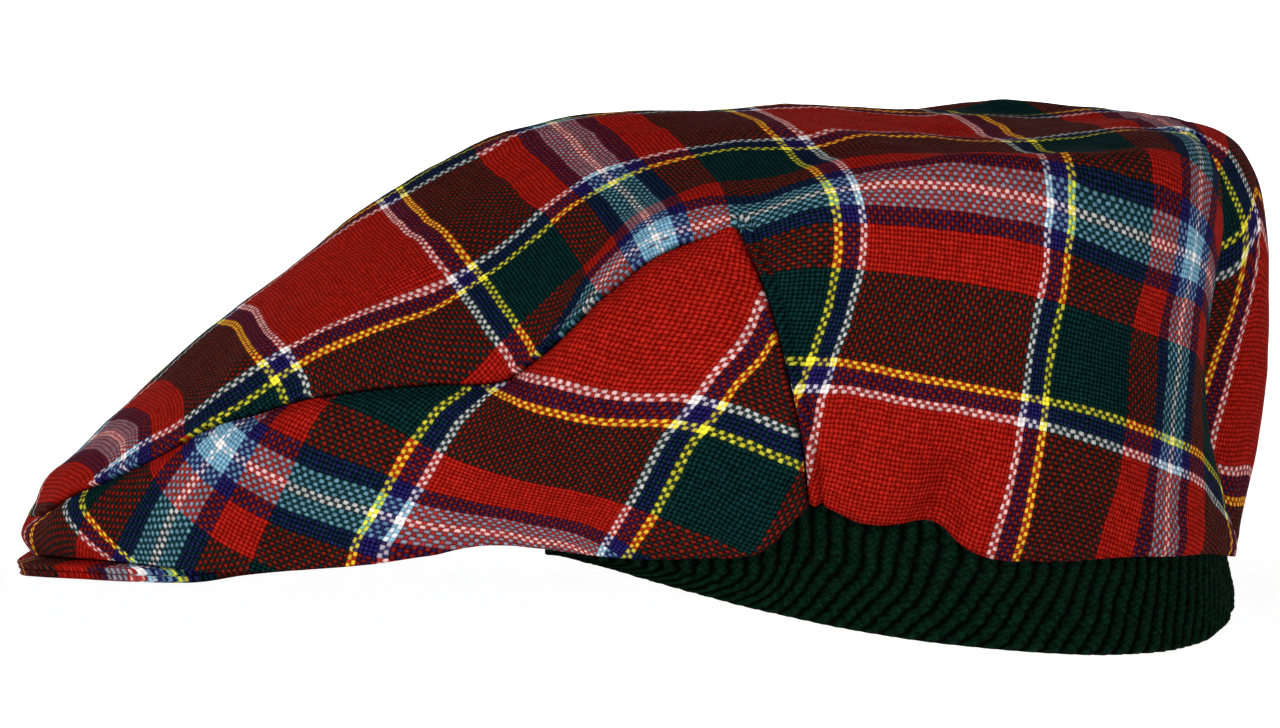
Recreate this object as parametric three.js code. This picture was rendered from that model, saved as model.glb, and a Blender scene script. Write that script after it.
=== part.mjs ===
// Flat cap: a one-piece crown top, two front side panels, a short peak and a ribbed knit band.
// Millimetres. X runs from the peak (-) to the back (+), the wearer's left is -Y, Z is up.
// The origin is the centre of the head opening, in the plane of the rim.
import * as THREE from "three";

// Real sizes
const CLOTH = 1.8;            // wall of every cloth panel
const PEAK_CLOTH = 1.5;       // wall of each peak cover
const SEAM_GAP = 0.34;        // clearance between two panels that are sewn edge to edge
const LAYER_GAP = 0.34;       // clearance between two pieces that lie on each other
const APEX_Z = 86.6;          // height of the crown's highest point above the rim
const STEP_DEG = 4;           // angle between two columns of the crown
const CORNER_DEG = 92;        // where the upper seam meets the rear seam
const SHOULDER_ROLL = 34;     // how far the roof takes to turn flat behind the edge of the wall
const BAND_START_DEG = 66;    // temple, where the knit band begins
const BAND_KNIT = 2.6;        // knit without its ribs
const BAND_RIB = 0.9;         // how far a rib stands out
const BAND_TUCK = 6.5;        // knit that is sewn in above the hem
const RIB_PITCH_DEG = 2.28;   // one rib of the knit, about 3.8 mm round the head

// The angle phi is 0 at the centre front, 90 over the left ear and 180 at the centre back.
// The right half mirrors the left. Radii are measured from the Z axis.
const table = (columns, rows) => rows.map(row => Object.fromEntries(columns.map((c, i) => [c, row[i]])));

// One row per section through the crown: hem, widest point of the wall, upper edge of the wall,
// and the height of the roof two thirds and one third of the way out.
const CROWN = table(
  ["phi", "hemR", "hemZ", "bellyR", "edgeR", "edgeZ", "roofOut", "roofIn"], [
  [0, 158.6, -9.4, 161.6, 159.6, -0.6, 50.3, 82.3],
  [8, 157.2, -8.4, 160.4, 158.4, 1.4, 51.3, 82.7],
  [15, 152.6, -6.0, 155.4, 152.8, 6.6, 54.0, 83.1],
  [21, 145.0, -4.2, 147.8, 144.8, 12.7, 56.4, 83.2],
  [27, 135.6, -3.8, 138.8, 135.8, 19.7, 59.6, 83.1],
  [31, 129.2, -4.4, 133.0, 129.6, 25.1, 61.0, 82.9],
  [35.5, 122.0, -3.8, 126.4, 121.6, 29.8, 63.7, 83.1],
  [40, 115.4, -2.8, 119.8, 115.0, 33.2, 65.3, 83.3],
  [45, 109.2, -1.2, 113.8, 108.2, 35.4, 66.9, 83.5],
  [53, 100.4, 1.6, 105.6, 100.0, 37.5, 69.5, 84.1],
  [60, 95.6, 4.0, 101.0, 95.2, 39.5, 71.1, 84.4],
  [66, 92.4, 4.0, 98.0, 92.4, 45.0, 73.1, 84.8],
  [74, 89.2, 3.0, 95.2, 88.4, 56.4, 75.8, 85.4],
  [80, 87.8, 2.8, 94.2, 85.2, 64.0, 78.2, 85.8],
  [88, 87.2, 3.4, 93.6, 82.6, 69.0, 80.3, 86.2],
  [96, 88.2, 5.6, 93.6, 82.6, 71.7, 81.8, 86.5],
  [102, 89.6, 14.6, 95.0, 84.6, 74.3, 82.9, 86.5],
  [109, 92.2, 11.4, 97.6, 87.6, 77.2, 83.9, 86.5],
  [116, 96.4, 9.6, 101.0, 90.8, 78.9, 84.8, 86.4],
  [123, 100.2, 4.0, 105.0, 94.0, 79.9, 85.2, 86.2],
  [130, 102.6, 2.6, 108.2, 97.2, 80.2, 85.1, 85.9],
  [140, 103.4, 1.8, 110.6, 101.0, 79.9, 85.9, 86.0],
  [150, 103.6, 0.2, 111.8, 103.4, 79.4, 86.4, 86.0],
  [160, 103.8, -1.6, 112.0, 104.6, 78.6, 86.6, 86.0],
  [170, 102.6, -4.4, 108.6, 103.4, 78.4, 86.7, 85.7],
  [180, 100.6, -6.0, 101.0, 100.6, 78.2, 86.6, 85.5]]);

// The rear seam of the side panels, from the hem (w = 0) up to the corner (w = 0.5).
const REAR_SEAM = table(["w", "phi"], [
  [0, 101.8], [0.125, 100.4], [0.25, 98.7], [0.375, 96.2], [0.5, CORNER_DEG]]);

// Folds and dents, one row each: a line from (phiA, wA) to (phiB, wB) on the crown, the reach to
// either side of it in mm and the height in mm, negative for a valley.
const FOLDS = table(["name", "phiA", "wA", "phiB", "wB", "reach", "height"], [
  ["upper seam, nose", 8, 0.5, 34, 0.5, 4, -1.1],
  ["upper seam, middle", 36, 0.5, 60, 0.5, 4, -1.5],
  ["upper seam, rise", 62, 0.5, 88, 0.5, 4, -1.3],
  ["roll above the seam", 30, 0.56, 60, 0.55, 8, 1.6],
  ["roll above the ear", 64, 0.57, 86, 0.56, 8, 1.3],
  ["pinch where the seam turns", 60, 0.46, 66, 0.6, 8, -2.4],
  ["puff under the seam", 34, 0.4, 56, 0.4, 9, 1.2],
  ["puff over the ear", 70, 0.36, 86, 0.33, 15, 1.6],
  ["rear seam", 100.4, 0.05, 93.5, 0.44, 4, -1.6],
  ["puff behind the rear seam", 108, 0.2, 104, 0.42, 11, 1.2],
  ["lower rear corner", 94, 0.05, 99, 0.1, 7, 1.6],
  ["gather at the hem", 116, 0, 118, 0.13, 7, -2.4],
  ["fold from the gather", 110, 0.06, 122, 0.22, 9, 1.2],
  ["fold above the hem, back", 134, 0.05, 150, 0.06, 7, -1.1],
  ["back seam, low", 179.6, 0, 179.6, 0.24, 5, -1.4],
  ["back seam, high", 179.6, 0.24, 179.6, 0.52, 5, -1.2],
  ["sag of the roof", 176, 0.76, 158, 0.68, 22, -2.0],
  ["crest at the back", 176, 0.62, 164, 0.61, 11, 1.4],
  ["dent in the nose", 12, 0.6, 26, 0.66, 16, -1.2]]);

// The peak: its outer edge, and its inner edge along the head opening (upper faces).
const PEAK = table(["phi", "outR", "outZ", "inR", "inZ"], [
  [0, 161.8, -10.6, 99, -1.6],
  [8, 160.4, -9.4, 98.5, -1.4],
  [15, 155.8, -7.2, 97.2, -1.0],
  [21, 148.2, -5.6, 95.7, -0.4],
  [25, 140.4, -5.0, 94.5, 0],
  [28.5, 129.4, -4.6, 93.4, 0.6],
  [33, 121.4, -2.2, 92.2, 1.2],
  [40, 110.8, 0.4, 90, 2.4],
  [47, 101.6, 3.0, 88, 3.6]]);

// The knit band's lower edge.
const BAND = table(["phi", "lowR", "lowZ"], [
  [66, 87.6, 2.4], [72, 85.4, 0.8], [80, 83.2, -2.4], [87, 82.6, -5.2], [101, 84.0, -9.8],
  [114, 88.2, -13.4], [127, 93.4, -16.4], [141, 98.0, -19.2], [150, 99.6, -20.4],
  [160, 101.0, -21.0], [170, 101.2, -20.6], [180, 100.8, -20.2]]);

// Functions that turn the tables into surfaces
const rad = deg => deg * Math.PI / 180;

// A smooth curve through the rows of a table; slopes are flat at both ends when flatEnds is true.
function smooth(rows, xName, yName, flatEnds = true) {
  const xs = rows.map(r => r[xName]), ys = rows.map(r => r[yName]), n = xs.length;
  const secant = i => (ys[i + 1] - ys[i]) / (xs[i + 1] - xs[i]);
  const slopes = xs.map((x, i) => {
    if (i === 0) return flatEnds ? 0 : secant(0);
    if (i === n - 1) return flatEnds ? 0 : secant(n - 2);
    const a = xs[i] - xs[i - 1], b = xs[i + 1] - xs[i];
    return (secant(i - 1) * b + secant(i) * a) / (a + b);
  });
  return x => {
    let i = 0;
    while (i < n - 2 && x > xs[i + 1]) i++;
    const h = xs[i + 1] - xs[i], t = (x - xs[i]) / h;
    return hermite(ys[i], ys[i + 1], slopes[i] * h, slopes[i + 1] * h, t);
  };
}

function hermite(a, b, slopeA, slopeB, t) {
  const t2 = t * t, t3 = t2 * t;
  return a * (2 * t3 - 3 * t2 + 1) + b * (3 * t2 - 2 * t3) + slopeA * (t3 - 2 * t2 + t) + slopeB * (t3 - t2);
}

const crownCurve = Object.fromEntries(
  ["hemR", "hemZ", "bellyR", "edgeR", "edgeZ", "roofOut", "roofIn"].map(c => [c, smooth(CROWN, "phi", c)]));
const rearSeamDeg = smooth(REAR_SEAM, "w", "phi", false);
const peakCurve = Object.fromEntries(["outR", "outZ", "inR", "inZ"].map(c => [c, smooth(PEAK, "phi", c)]));
const bandCurve = Object.fromEntries(["lowR", "lowZ"].map(c => [c, smooth(BAND, "phi", c)]));

const polar = (phi, r, z) => new THREE.Vector3(-r * Math.cos(rad(phi)), -r * Math.sin(rad(phi)), z);

// The section at angle phi as a curve from the hem (w = 0) over the edge (w = 0.5) to the apex (w = 1).
function section(phi, w) {
  const c = Object.fromEntries(Object.entries(crownCurve).map(([k, f]) => [k, f(Math.abs(phi))]));
  const knots = [
    [0, c.hemR, c.hemZ], [0.25, c.bellyR, (c.hemZ + c.edgeZ) / 2], [0.5, c.edgeR, c.edgeZ],
    [2 / 3, c.edgeR * 2 / 3, c.roofOut], [5 / 6, c.edgeR / 3, c.roofIn], [1, 0, APEX_Z]];
  const length = i => Math.hypot(knots[i + 1][1] - knots[i][1], knots[i + 1][2] - knots[i][2]);
  const unit = (i, k) => (knots[i + 1][k] - knots[i][k]) / length(i);
  // Slope at knot i; leaving is true on the side towards the apex.
  const slope = (i, k, leaving) => {
    if (i === 0) return unit(0, k) * 1.3 - (k === 1 ? -0.3 : 0.1);
    if (i === knots.length - 1) return k === 1 ? -1 : 0;
    if (i === 2) {
      const bisector = (unit(1, k) + unit(2, k)) / Math.hypot(unit(1, 1) + unit(2, 1), unit(1, 2) + unit(2, 2));
      return bisector * (leaving ? Math.min(1, SHOULDER_ROLL / length(2)) : 1);
    }
    const a = length(i - 1), b = length(i);
    return (unit(i - 1, k) * b + unit(i, k) * a) / (a + b);
  };
  let i = 0;
  while (i < knots.length - 2 && w > knots[i + 1][0]) i++;
  const t = (w - knots[i][0]) / (knots[i + 1][0] - knots[i][0]), h = length(i);
  return [1, 2].map(k => hermite(
    knots[i][k], knots[i + 1][k], slope(i, k, true) * h, slope(i + 1, k, false) * h, t));
}

const plain = (phi, w) => polar(phi, ...section(phi, w));

// Outward normal of a surface given as a function of phi and w.
function normalOf(surface, phi, w) {
  if (w > 0.995) return new THREE.Vector3(0, 0, 1);
  const w0 = Math.max(0, w - 0.004), w1 = Math.min(0.999, w + 0.004);
  const along = surface(phi, w1).sub(surface(phi, w0));
  const round = surface(phi + 0.4, w).sub(surface(phi - 0.4, w));
  return round.cross(along).normalize();
}

const foldLines = FOLDS.map(f => {
  const nodes = [0, 0.25, 0.5, 0.75, 1].map(t => plain(f.phiA + (f.phiB - f.phiA) * t, f.wA + (f.wB - f.wA) * t));
  return { nodes, reach: f.reach, height: f.height };
});

// Height of all folds at a point; the right half repeats the folds of the left.
function foldHeight(point) {
  const p = new THREE.Vector3(point.x, -Math.abs(point.y), point.z), nearest = new THREE.Vector3();
  let sum = 0;
  for (const f of foldLines) {
    let distance = Infinity;
    for (let i = 0; i < f.nodes.length - 1; i++) {
      new THREE.Line3(f.nodes[i], f.nodes[i + 1]).closestPointToPoint(p, true, nearest);
      distance = Math.min(distance, nearest.distanceTo(p));
    }
    sum += f.height * Math.exp(-((distance / f.reach) ** 2));
  }
  return sum;
}

const folded = (phi, w) => {
  const p = plain(phi, w);
  return p.clone().addScaledVector(normalOf(plain, phi, w), foldHeight(p));
};

// Solids
// A sheet is a list of outer points with their inner partners and a list of outer faces. Every edge
// that belongs to one face only is closed with a wall between the outer and the inner side.
class Sheet {
  constructor() { this.outer = []; this.inner = []; this.faces = []; }

  add(outer, inner) { this.outer.push(outer); this.inner.push(inner); return this.outer.length - 1; }

  // a, b, c, d run anticlockwise seen from outside; a repeated corner gives a triangle.
  quad(a, b, c, d) {
    const crossing = this.outer[a].distanceTo(this.outer[c]) > this.outer[b].distanceTo(this.outer[d]);
    const pair = crossing ? [[a, b, d], [b, c, d]] : [[a, b, c], [a, c, d]];
    for (const face of pair) if (new Set(face).size === 3) this.faces.push(face);
  }

  geometry() {
    const n = this.outer.length, index = [], used = new Map();
    for (const [a, b, c] of this.faces) {
      index.push(a, b, c, n + a, n + c, n + b);
      for (const [s, e] of [[a, b], [b, c], [c, a]]) used.set(`${s},${e}`, [s, e]);
    }
    for (const [s, e] of used.values()) {
      if (!used.has(`${e},${s}`)) index.push(s, n + s, n + e, s, n + e, e);
    }
    const geometry = new THREE.BufferGeometry();
    const points = [...this.outer, ...this.inner].flatMap(p => [p.x, p.y, p.z]);
    geometry.setAttribute("position", new THREE.Float32BufferAttribute(points, 3));
    geometry.setIndex(index);
    geometry.computeVertexNormals();
    return geometry;
  }
}

// A rectangular net of points: place(column, row) gives [outer, inner].
function net(sheet, columns, rows, place, closed = false) {
  const ids = [];
  for (let j = 0; j < columns; j++) {
    ids.push([]);
    for (let i = 0; i < rows; i++) ids[j].push(sheet.add(...place(j, i)));
  }
  for (let j = 0; j < (closed ? columns : columns - 1); j++) {
    const k = (j + 1) % columns;
    for (let i = 0; i < rows - 1; i++) sheet.quad(ids[j][i], ids[k][i], ids[k][i + 1], ids[j][i + 1]);
  }
  return ids;
}

// An outer point with its inner partner. Beside a seam, seamPhi and seamW name the point on the seam
// whose normal both panels share, so that their edges stay parallel.
function clothPair(phi, w, seamPhi = phi, seamW = w) {
  const outer = folded(phi, w);
  return [outer, outer.clone().addScaledVector(normalOf(folded, seamPhi, seamW), -CLOTH)];
}

const halfGapDeg = r => SEAM_GAP / 2 / r * 180 / Math.PI;
const WALL_ROWS = [0, 0.06, 0.13, 0.2, 0.27, 0.34, 0.4, 0.455, 0.5];
const ROOF_ROWS = [0.5, 0.525, 0.555, 0.59, 0.635, 0.69, 0.76, 0.84, 0.92];
const EDGE_SHRINK = 0.0021;   // share of w that opens half a seam gap at the wall's upper edge
const ROOF_SHRINK = 0.0011;   // the same on the roof side, where w covers more cloth

// Front side panel; side is 1 for the left and -1 for the right.
function sidePanel(side) {
  const columns = Math.round(CORNER_DEG / STEP_DEG), sheet = new Sheet();
  net(sheet, columns + 1, WALL_ROWS.length, (j, i) => {
    const w = Math.min(WALL_ROWS[i], 0.5 - EDGE_SHRINK), step = side > 0 ? j : columns - j;
    const from = halfGapDeg(158), to = rearSeamDeg(w) - halfGapDeg(88);
    const phi = side * (from + (to - from) * step / columns);
    const seamPhi = step === 0 ? 0 : step === columns ? side * rearSeamDeg(w) : phi;
    return clothPair(phi, w, seamPhi, WALL_ROWS[i]);
  });
  return sheet.geometry();
}

// Roof and rear sides in one piece.
function crownTop() {
  const sheet = new Sheet(), last = 180 / STEP_DEG, corner = CORNER_DEG / STEP_DEG;
  const ring = [];
  for (let j = -last + 1; j <= last; j++) ring.push(j * STEP_DEG);
  const behind = phi => Math.abs(phi) >= CORNER_DEG;
  // Behind the corner the columns fan out along the rear seam and start a little behind it.
  const spread = (phi, w) => {
    if (!behind(phi)) return phi;
    const seam = rearSeamDeg(Math.min(w, 0.5)) + halfGapDeg(88);
    const share = (Math.abs(phi) - CORNER_DEG) / (180 - CORNER_DEG);
    const open = w > 0.5 ? CORNER_DEG + halfGapDeg(88) * Math.max(0, 1 - (w - 0.5) * 20) : seam;
    return Math.sign(phi) * (open + share * (180 - open));
  };
  const roof = net(sheet, ring.length, ROOF_ROWS.length, (j, i) => {
    const phi = ring[j], w = ROOF_ROWS[i];
    if (i > 0 || Math.abs(phi) > CORNER_DEG) return clothPair(spread(phi, w), w);
    return clothPair(spread(phi, w), w + ROOF_SHRINK, phi, w);
  }, true);
  const apex = sheet.add(polar(0, 0, APEX_Z), polar(0, 0, APEX_Z - CLOTH));
  const top = ROOF_ROWS.length - 1;
  for (let j = 0; j < ring.length; j++) {
    sheet.quad(roof[j][top], roof[(j + 1) % ring.length][top], apex, apex);
  }
  // Rear sides below the edge: from the left rear seam round the back to the right one.
  const rearColumns = [];
  for (let s = corner; s <= 2 * last - corner; s++) rearColumns.push(s);
  const ids = rearColumns.map(s => {
    const phi = s > last ? (s - 2 * last) * STEP_DEG : s * STEP_DEG;
    const column = WALL_ROWS.slice(0, -1).map(w => {
      const onSeam = Math.abs(phi) === CORNER_DEG;
      return sheet.add(...clothPair(spread(phi, w), w, onSeam ? Math.sign(phi) * rearSeamDeg(w) : spread(phi, w), w));
    });
    column.push(roof[ring.indexOf(phi)][0]);
    return column;
  });
  for (let j = 0; j < ids.length - 1; j++) {
    for (let i = 0; i < WALL_ROWS.length - 1; i++) {
      sheet.quad(ids[j][i], ids[j + 1][i], ids[j + 1][i + 1], ids[j][i + 1]);
    }
  }
  return sheet.geometry();
}

// One cover of the peak: depth is how far its upper face lies below the peak's upper face.
function peakCover(depth, rollOut, rollDrop) {
  const sheet = new Sheet(), reach = 47, columns = 30, shares = [0, 0.05, 0.35, 0.7, 1];
  net(sheet, columns + 1, shares.length, (j, i) => {
    const phi = -reach + 2 * reach * j / columns, a = Math.abs(phi), share = 1 - shares[i];
    const c = Object.fromEntries(Object.entries(peakCurve).map(([k, f]) => [k, f(a)]));
    const r = c.inR + (c.outR - c.inR) * share - (i === 0 ? rollOut : 0);
    const rise = 1.6 * Math.sin(Math.PI * share) * Math.cos(rad(a * 1.8));
    const z = c.inZ + (c.outZ - c.inZ) * share + rise - depth - (i === 0 ? rollDrop : 0);
    const edge = i === 0 ? 0.45 : 0;
    return [polar(phi, r, z), polar(phi, r - edge, z - PEAK_CLOTH + (i === 0 ? rollDrop : 0))];
  });
  return sheet.geometry();
}

// Knit band from the left temple round the back to the right temple, with its ribs.
function knitBand() {
  const sheet = new Sheet(), span = 360 - 2 * BAND_START_DEG;
  const ribs = Math.round(span / RIB_PITCH_DEG), columns = 2 * ribs;
  const levels = [0, 0.4, 0.72, 1];
  net(sheet, columns + 1, levels.length, (j, i) => {
    const turn = BAND_START_DEG + span * j / columns;
    const phi = turn > 180 ? turn - 360 : turn, a = Math.abs(phi);
    const hemR = crownCurve.hemR(a), hemZ = crownCurve.hemZ(a);
    const seatR = hemR - CLOTH - LAYER_GAP - BAND_RIB - 0.6;
    const gathered = foldHeight(plain(phi, 0.02));
    const low = { r: bandCurve.lowR(a) - BAND_RIB, z: bandCurve.lowZ(a) };
    const topZ = hemZ + BAND_TUCK, share = levels[i];
    const z = low.z + (topZ - low.z) * share;
    const below = Math.min(1, Math.max(0, (hemZ - 1.2 - z) / 9));
    const ease = below * below * (3 - 2 * below);
    const taper = Math.min(1, (Math.min(turn, 360 - turn) - BAND_START_DEG) / 5);
    const r = seatR + Math.min(0, gathered) * 0.7 * (1 - ease) + (low.r - seatR) * ease;
    const rib = (j % 2 === 0 ? 0 : BAND_RIB) * (0.3 + 0.7 * taper);
    const knit = 1.6 + (BAND_KNIT - 1.6) * taper;
    return [polar(phi, r + rib, z), polar(phi, r - knit, z)];
  });
  return sheet.geometry();
}

// Assembly
const tartan = new THREE.MeshStandardMaterial({ name: "tartan_wool", color: 0xa81f1a, roughness: 0.9 });
const knit = new THREE.MeshStandardMaterial({ name: "green_knit", color: 0x0b2a20, roughness: 0.95 });

const cap = new THREE.Group();
cap.name = "flat_cap";
for (const [name, geometry, material] of [
  ["crown_top", crownTop(), tartan],
  ["side_panel_left", sidePanel(1), tartan],
  ["side_panel_right", sidePanel(-1), tartan],
  ["peak_upper_cover", peakCover(0, 0.3, 0.5), tartan],
  ["peak_lower_cover", peakCover(PEAK_CLOTH + LAYER_GAP, 0.8, 0), tartan],
  ["knit_band", knitBand(), knit]]) {
  const mesh = new THREE.Mesh(geometry, material);
  mesh.name = name;
  cap.add(mesh);
}

export default cap;
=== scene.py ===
"""Flat cap in tartan wool with a ribbed knit band: the looks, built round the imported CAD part.

Lengths are in millimetres until a mesh is made; X runs from the peak (-) to the back (+), the
wearer's left is -Y and Z is up. The angle phi is 0 at the centre front, 90 over the left ear and
180 at the centre back; w runs up a section, from the hem (0) over the edge of the wall (0.5) to
the top of the crown (1).
"""
import logging
import math
from dataclasses import dataclass, field
from enum import Enum
from typing import Any, Callable, Sequence

import bpy
import numpy as np
from mathutils import Matrix, Vector, noise


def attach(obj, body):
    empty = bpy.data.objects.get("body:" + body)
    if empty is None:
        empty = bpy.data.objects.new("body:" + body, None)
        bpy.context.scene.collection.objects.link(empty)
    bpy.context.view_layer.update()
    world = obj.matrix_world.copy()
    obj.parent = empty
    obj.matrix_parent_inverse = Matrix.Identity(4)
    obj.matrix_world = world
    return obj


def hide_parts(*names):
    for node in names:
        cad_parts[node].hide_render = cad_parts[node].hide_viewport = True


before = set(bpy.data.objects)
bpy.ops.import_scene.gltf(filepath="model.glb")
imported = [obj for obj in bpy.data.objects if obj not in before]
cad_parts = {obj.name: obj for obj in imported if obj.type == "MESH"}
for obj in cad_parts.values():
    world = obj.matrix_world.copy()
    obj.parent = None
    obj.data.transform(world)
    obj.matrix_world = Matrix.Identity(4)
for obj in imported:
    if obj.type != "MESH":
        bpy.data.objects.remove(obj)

LOG = logging.getLogger("flat_cap")
Array = np.ndarray
Surface = Callable[[Array, Array], Array]
Colour = tuple[float, float, float]
Place = tuple[float, float, float]
MM = 0.001
THREAD_MM = 1.0
CLOTH_MM = 1.8
STITCH_MM = 1.35
SEAM_GAP_MM = 0.34
PHOTO_WIDTH, PHOTO_HEIGHT = 1280, 728


# The shape of the cap


@dataclass(frozen=True)
class Section:
    """One section through the crown, in degrees and millimetres.

    Attributes:
        phi: Its angle.
        hem_r: Radius of the hem.
        hem_z: Height of the hem.
        belly_r: Radius half-way up the wall.
        edge_r: Radius of the wall's upper edge.
        edge_z: Height of the wall's upper edge.
        roof_out: Height of the roof a third of the way in.
        roof_in: Height of the roof two thirds of the way in.
    """

    phi: float
    hem_r: float
    hem_z: float
    belly_r: float
    edge_r: float
    edge_z: float
    roof_out: float
    roof_in: float


SECTIONS = (
    Section(0, 158.6, -9.4, 161.6, 159.6, -0.6, 50.3, 82.3),
    Section(8, 157.2, -8.4, 160.4, 158.4, 1.4, 51.3, 82.7),
    Section(15, 152.6, -6.0, 155.4, 152.8, 6.6, 54.0, 83.1),
    Section(21, 145.0, -4.2, 147.8, 144.8, 12.7, 56.4, 83.2),
    Section(27, 135.6, -3.8, 138.8, 135.8, 19.7, 59.6, 83.1),
    Section(31, 129.2, -4.4, 133.0, 129.6, 25.1, 61.0, 82.9),
    Section(35.5, 122.0, -3.8, 126.4, 121.6, 29.8, 63.7, 83.1),
    Section(40, 115.4, -2.8, 119.8, 115.0, 33.2, 65.3, 83.3),
    Section(45, 109.2, -1.2, 113.8, 108.2, 35.4, 66.9, 83.5),
    Section(53, 100.4, 1.6, 105.6, 100.0, 37.5, 69.5, 84.1),
    Section(60, 95.6, 4.0, 101.0, 95.2, 39.5, 71.1, 84.4),
    Section(66, 92.4, 4.0, 98.0, 92.4, 45.0, 73.1, 84.8),
    Section(74, 89.2, 3.0, 95.2, 88.4, 56.4, 75.8, 85.4),
    Section(80, 87.8, 2.8, 94.2, 85.2, 64.0, 78.2, 85.8),
    Section(88, 87.2, 3.4, 93.6, 82.6, 69.0, 80.3, 86.2),
    Section(96, 88.2, 5.6, 93.6, 82.6, 71.7, 81.8, 86.5),
    Section(102, 89.6, 14.6, 95.0, 84.6, 74.3, 82.9, 86.5),
    Section(109, 92.2, 11.4, 97.6, 87.6, 77.2, 83.9, 86.5),
    Section(116, 96.4, 9.6, 101.0, 90.8, 78.9, 84.8, 86.4),
    Section(123, 100.2, 4.0, 105.0, 94.0, 79.9, 85.2, 86.2),
    Section(130, 102.6, 2.6, 108.2, 97.2, 80.2, 85.1, 85.9),
    Section(140, 103.4, 1.8, 110.6, 101.0, 79.9, 85.9, 86.0),
    Section(150, 103.6, 0.2, 111.8, 103.4, 79.4, 86.4, 86.0),
    Section(160, 103.8, -1.6, 112.0, 104.6, 78.6, 86.6, 86.0),
    Section(170, 102.6, -4.4, 108.6, 103.4, 78.4, 86.7, 85.7),
    Section(180, 100.6, -6.0, 101.0, 100.6, 78.2, 86.6, 85.5),
)


@dataclass(frozen=True)
class Fold:
    """A fold or dent along a line on the crown.

    Attributes:
        name: What it is.
        phi_a: Angle of its first end.
        w_a: Place of its first end up the section.
        phi_b: Angle of its other end.
        w_b: Place of its other end up the section.
        reach: How far it spreads to each side.
        height: How far it stands out; negative for a valley.
    """

    name: str
    phi_a: float
    w_a: float
    phi_b: float
    w_b: float
    reach: float
    height: float


FOLDS = (
    Fold("upper seam, nose", 8, 0.5, 34, 0.5, 4, -1.1),
    Fold("upper seam, middle", 36, 0.5, 60, 0.5, 4, -1.5),
    Fold("upper seam, rise", 62, 0.5, 88, 0.5, 4, -1.3),
    Fold("roll above the seam", 30, 0.56, 60, 0.55, 8, 1.6),
    Fold("roll above the ear", 64, 0.57, 86, 0.56, 8, 1.3),
    Fold("pinch where the seam turns", 60, 0.46, 66, 0.6, 8, -2.4),
    Fold("puff under the seam", 34, 0.4, 56, 0.4, 9, 1.2),
    Fold("puff over the ear", 70, 0.36, 86, 0.33, 15, 1.6),
    Fold("rear seam", 100.4, 0.05, 93.5, 0.44, 4, -1.6),
    Fold("puff behind the rear seam", 108, 0.2, 104, 0.42, 11, 1.2),
    Fold("lower rear corner", 94, 0.05, 99, 0.1, 7, 1.6),
    Fold("gather at the hem", 116, 0, 118, 0.13, 7, -2.4),
    Fold("fold from the gather", 110, 0.06, 122, 0.22, 9, 1.2),
    Fold("fold above the hem, back", 134, 0.05, 150, 0.06, 7, -1.1),
    Fold("back seam, low", 179.6, 0, 179.6, 0.24, 5, -1.4),
    Fold("back seam, high", 179.6, 0.24, 179.6, 0.52, 5, -1.2),
    Fold("sag of the roof", 176, 0.76, 158, 0.68, 22, -2.0),
    Fold("crest at the back", 176, 0.62, 164, 0.61, 11, 1.4),
    Fold("dent in the nose", 12, 0.6, 26, 0.66, 16, -1.2),
)


@dataclass(frozen=True)
class PeakRay:
    """The peak at the angle phi: its outer and inner edge, upper faces."""

    phi: float
    out_r: float
    out_z: float
    in_r: float
    in_z: float


PEAK_RAYS = (
    PeakRay(0, 161.8, -10.6, 99, -1.6),
    PeakRay(8, 160.4, -9.4, 98.5, -1.4),
    PeakRay(15, 155.8, -7.2, 97.2, -1.0),
    PeakRay(21, 148.2, -5.6, 95.7, -0.4),
    PeakRay(25, 140.4, -5.0, 94.5, 0),
    PeakRay(28.5, 129.4, -4.6, 93.4, 0.6),
    PeakRay(33, 121.4, -2.2, 92.2, 1.2),
    PeakRay(40, 110.8, 0.4, 90, 2.4),
    PeakRay(47, 101.6, 3.0, 88, 3.6),
)


@dataclass(frozen=True)
class BandEdge:
    """The lower edge of the knit band at the angle phi."""

    phi: float
    low_r: float
    low_z: float


BAND_EDGES = (
    BandEdge(66, 87.6, 2.4), BandEdge(72, 85.4, 0.8), BandEdge(80, 83.2, -2.4),
    BandEdge(87, 82.6, -5.2), BandEdge(101, 84.0, -9.8), BandEdge(114, 88.2, -13.4),
    BandEdge(127, 93.4, -16.4), BandEdge(141, 98.0, -19.2), BandEdge(150, 99.6, -20.4),
    BandEdge(160, 101.0, -21.0), BandEdge(170, 101.2, -20.6), BandEdge(180, 100.8, -20.2),
)


def hermite(a: Array, b: Array, slope_a: Array, slope_b: Array, t: Array) -> Array:
    """Value of the cubic between a and b at t, with the given slopes at its ends."""
    t2, t3 = t * t, t * t * t
    values = a * (2 * t3 - 3 * t2 + 1) + b * (3 * t2 - 2 * t3)
    return values + slope_a * (t3 - 2 * t2 + t) + slope_b * (t3 - t2)


def bell(distance: Array, reach: float) -> Array:
    """A bump of height one that fades with the distance."""
    return np.exp(-((distance / reach) ** 2))


def eased(share: Array) -> Array:
    """A share from 0 to 1 that starts and ends gently."""
    return share * share * (3 - 2 * share)


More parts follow.
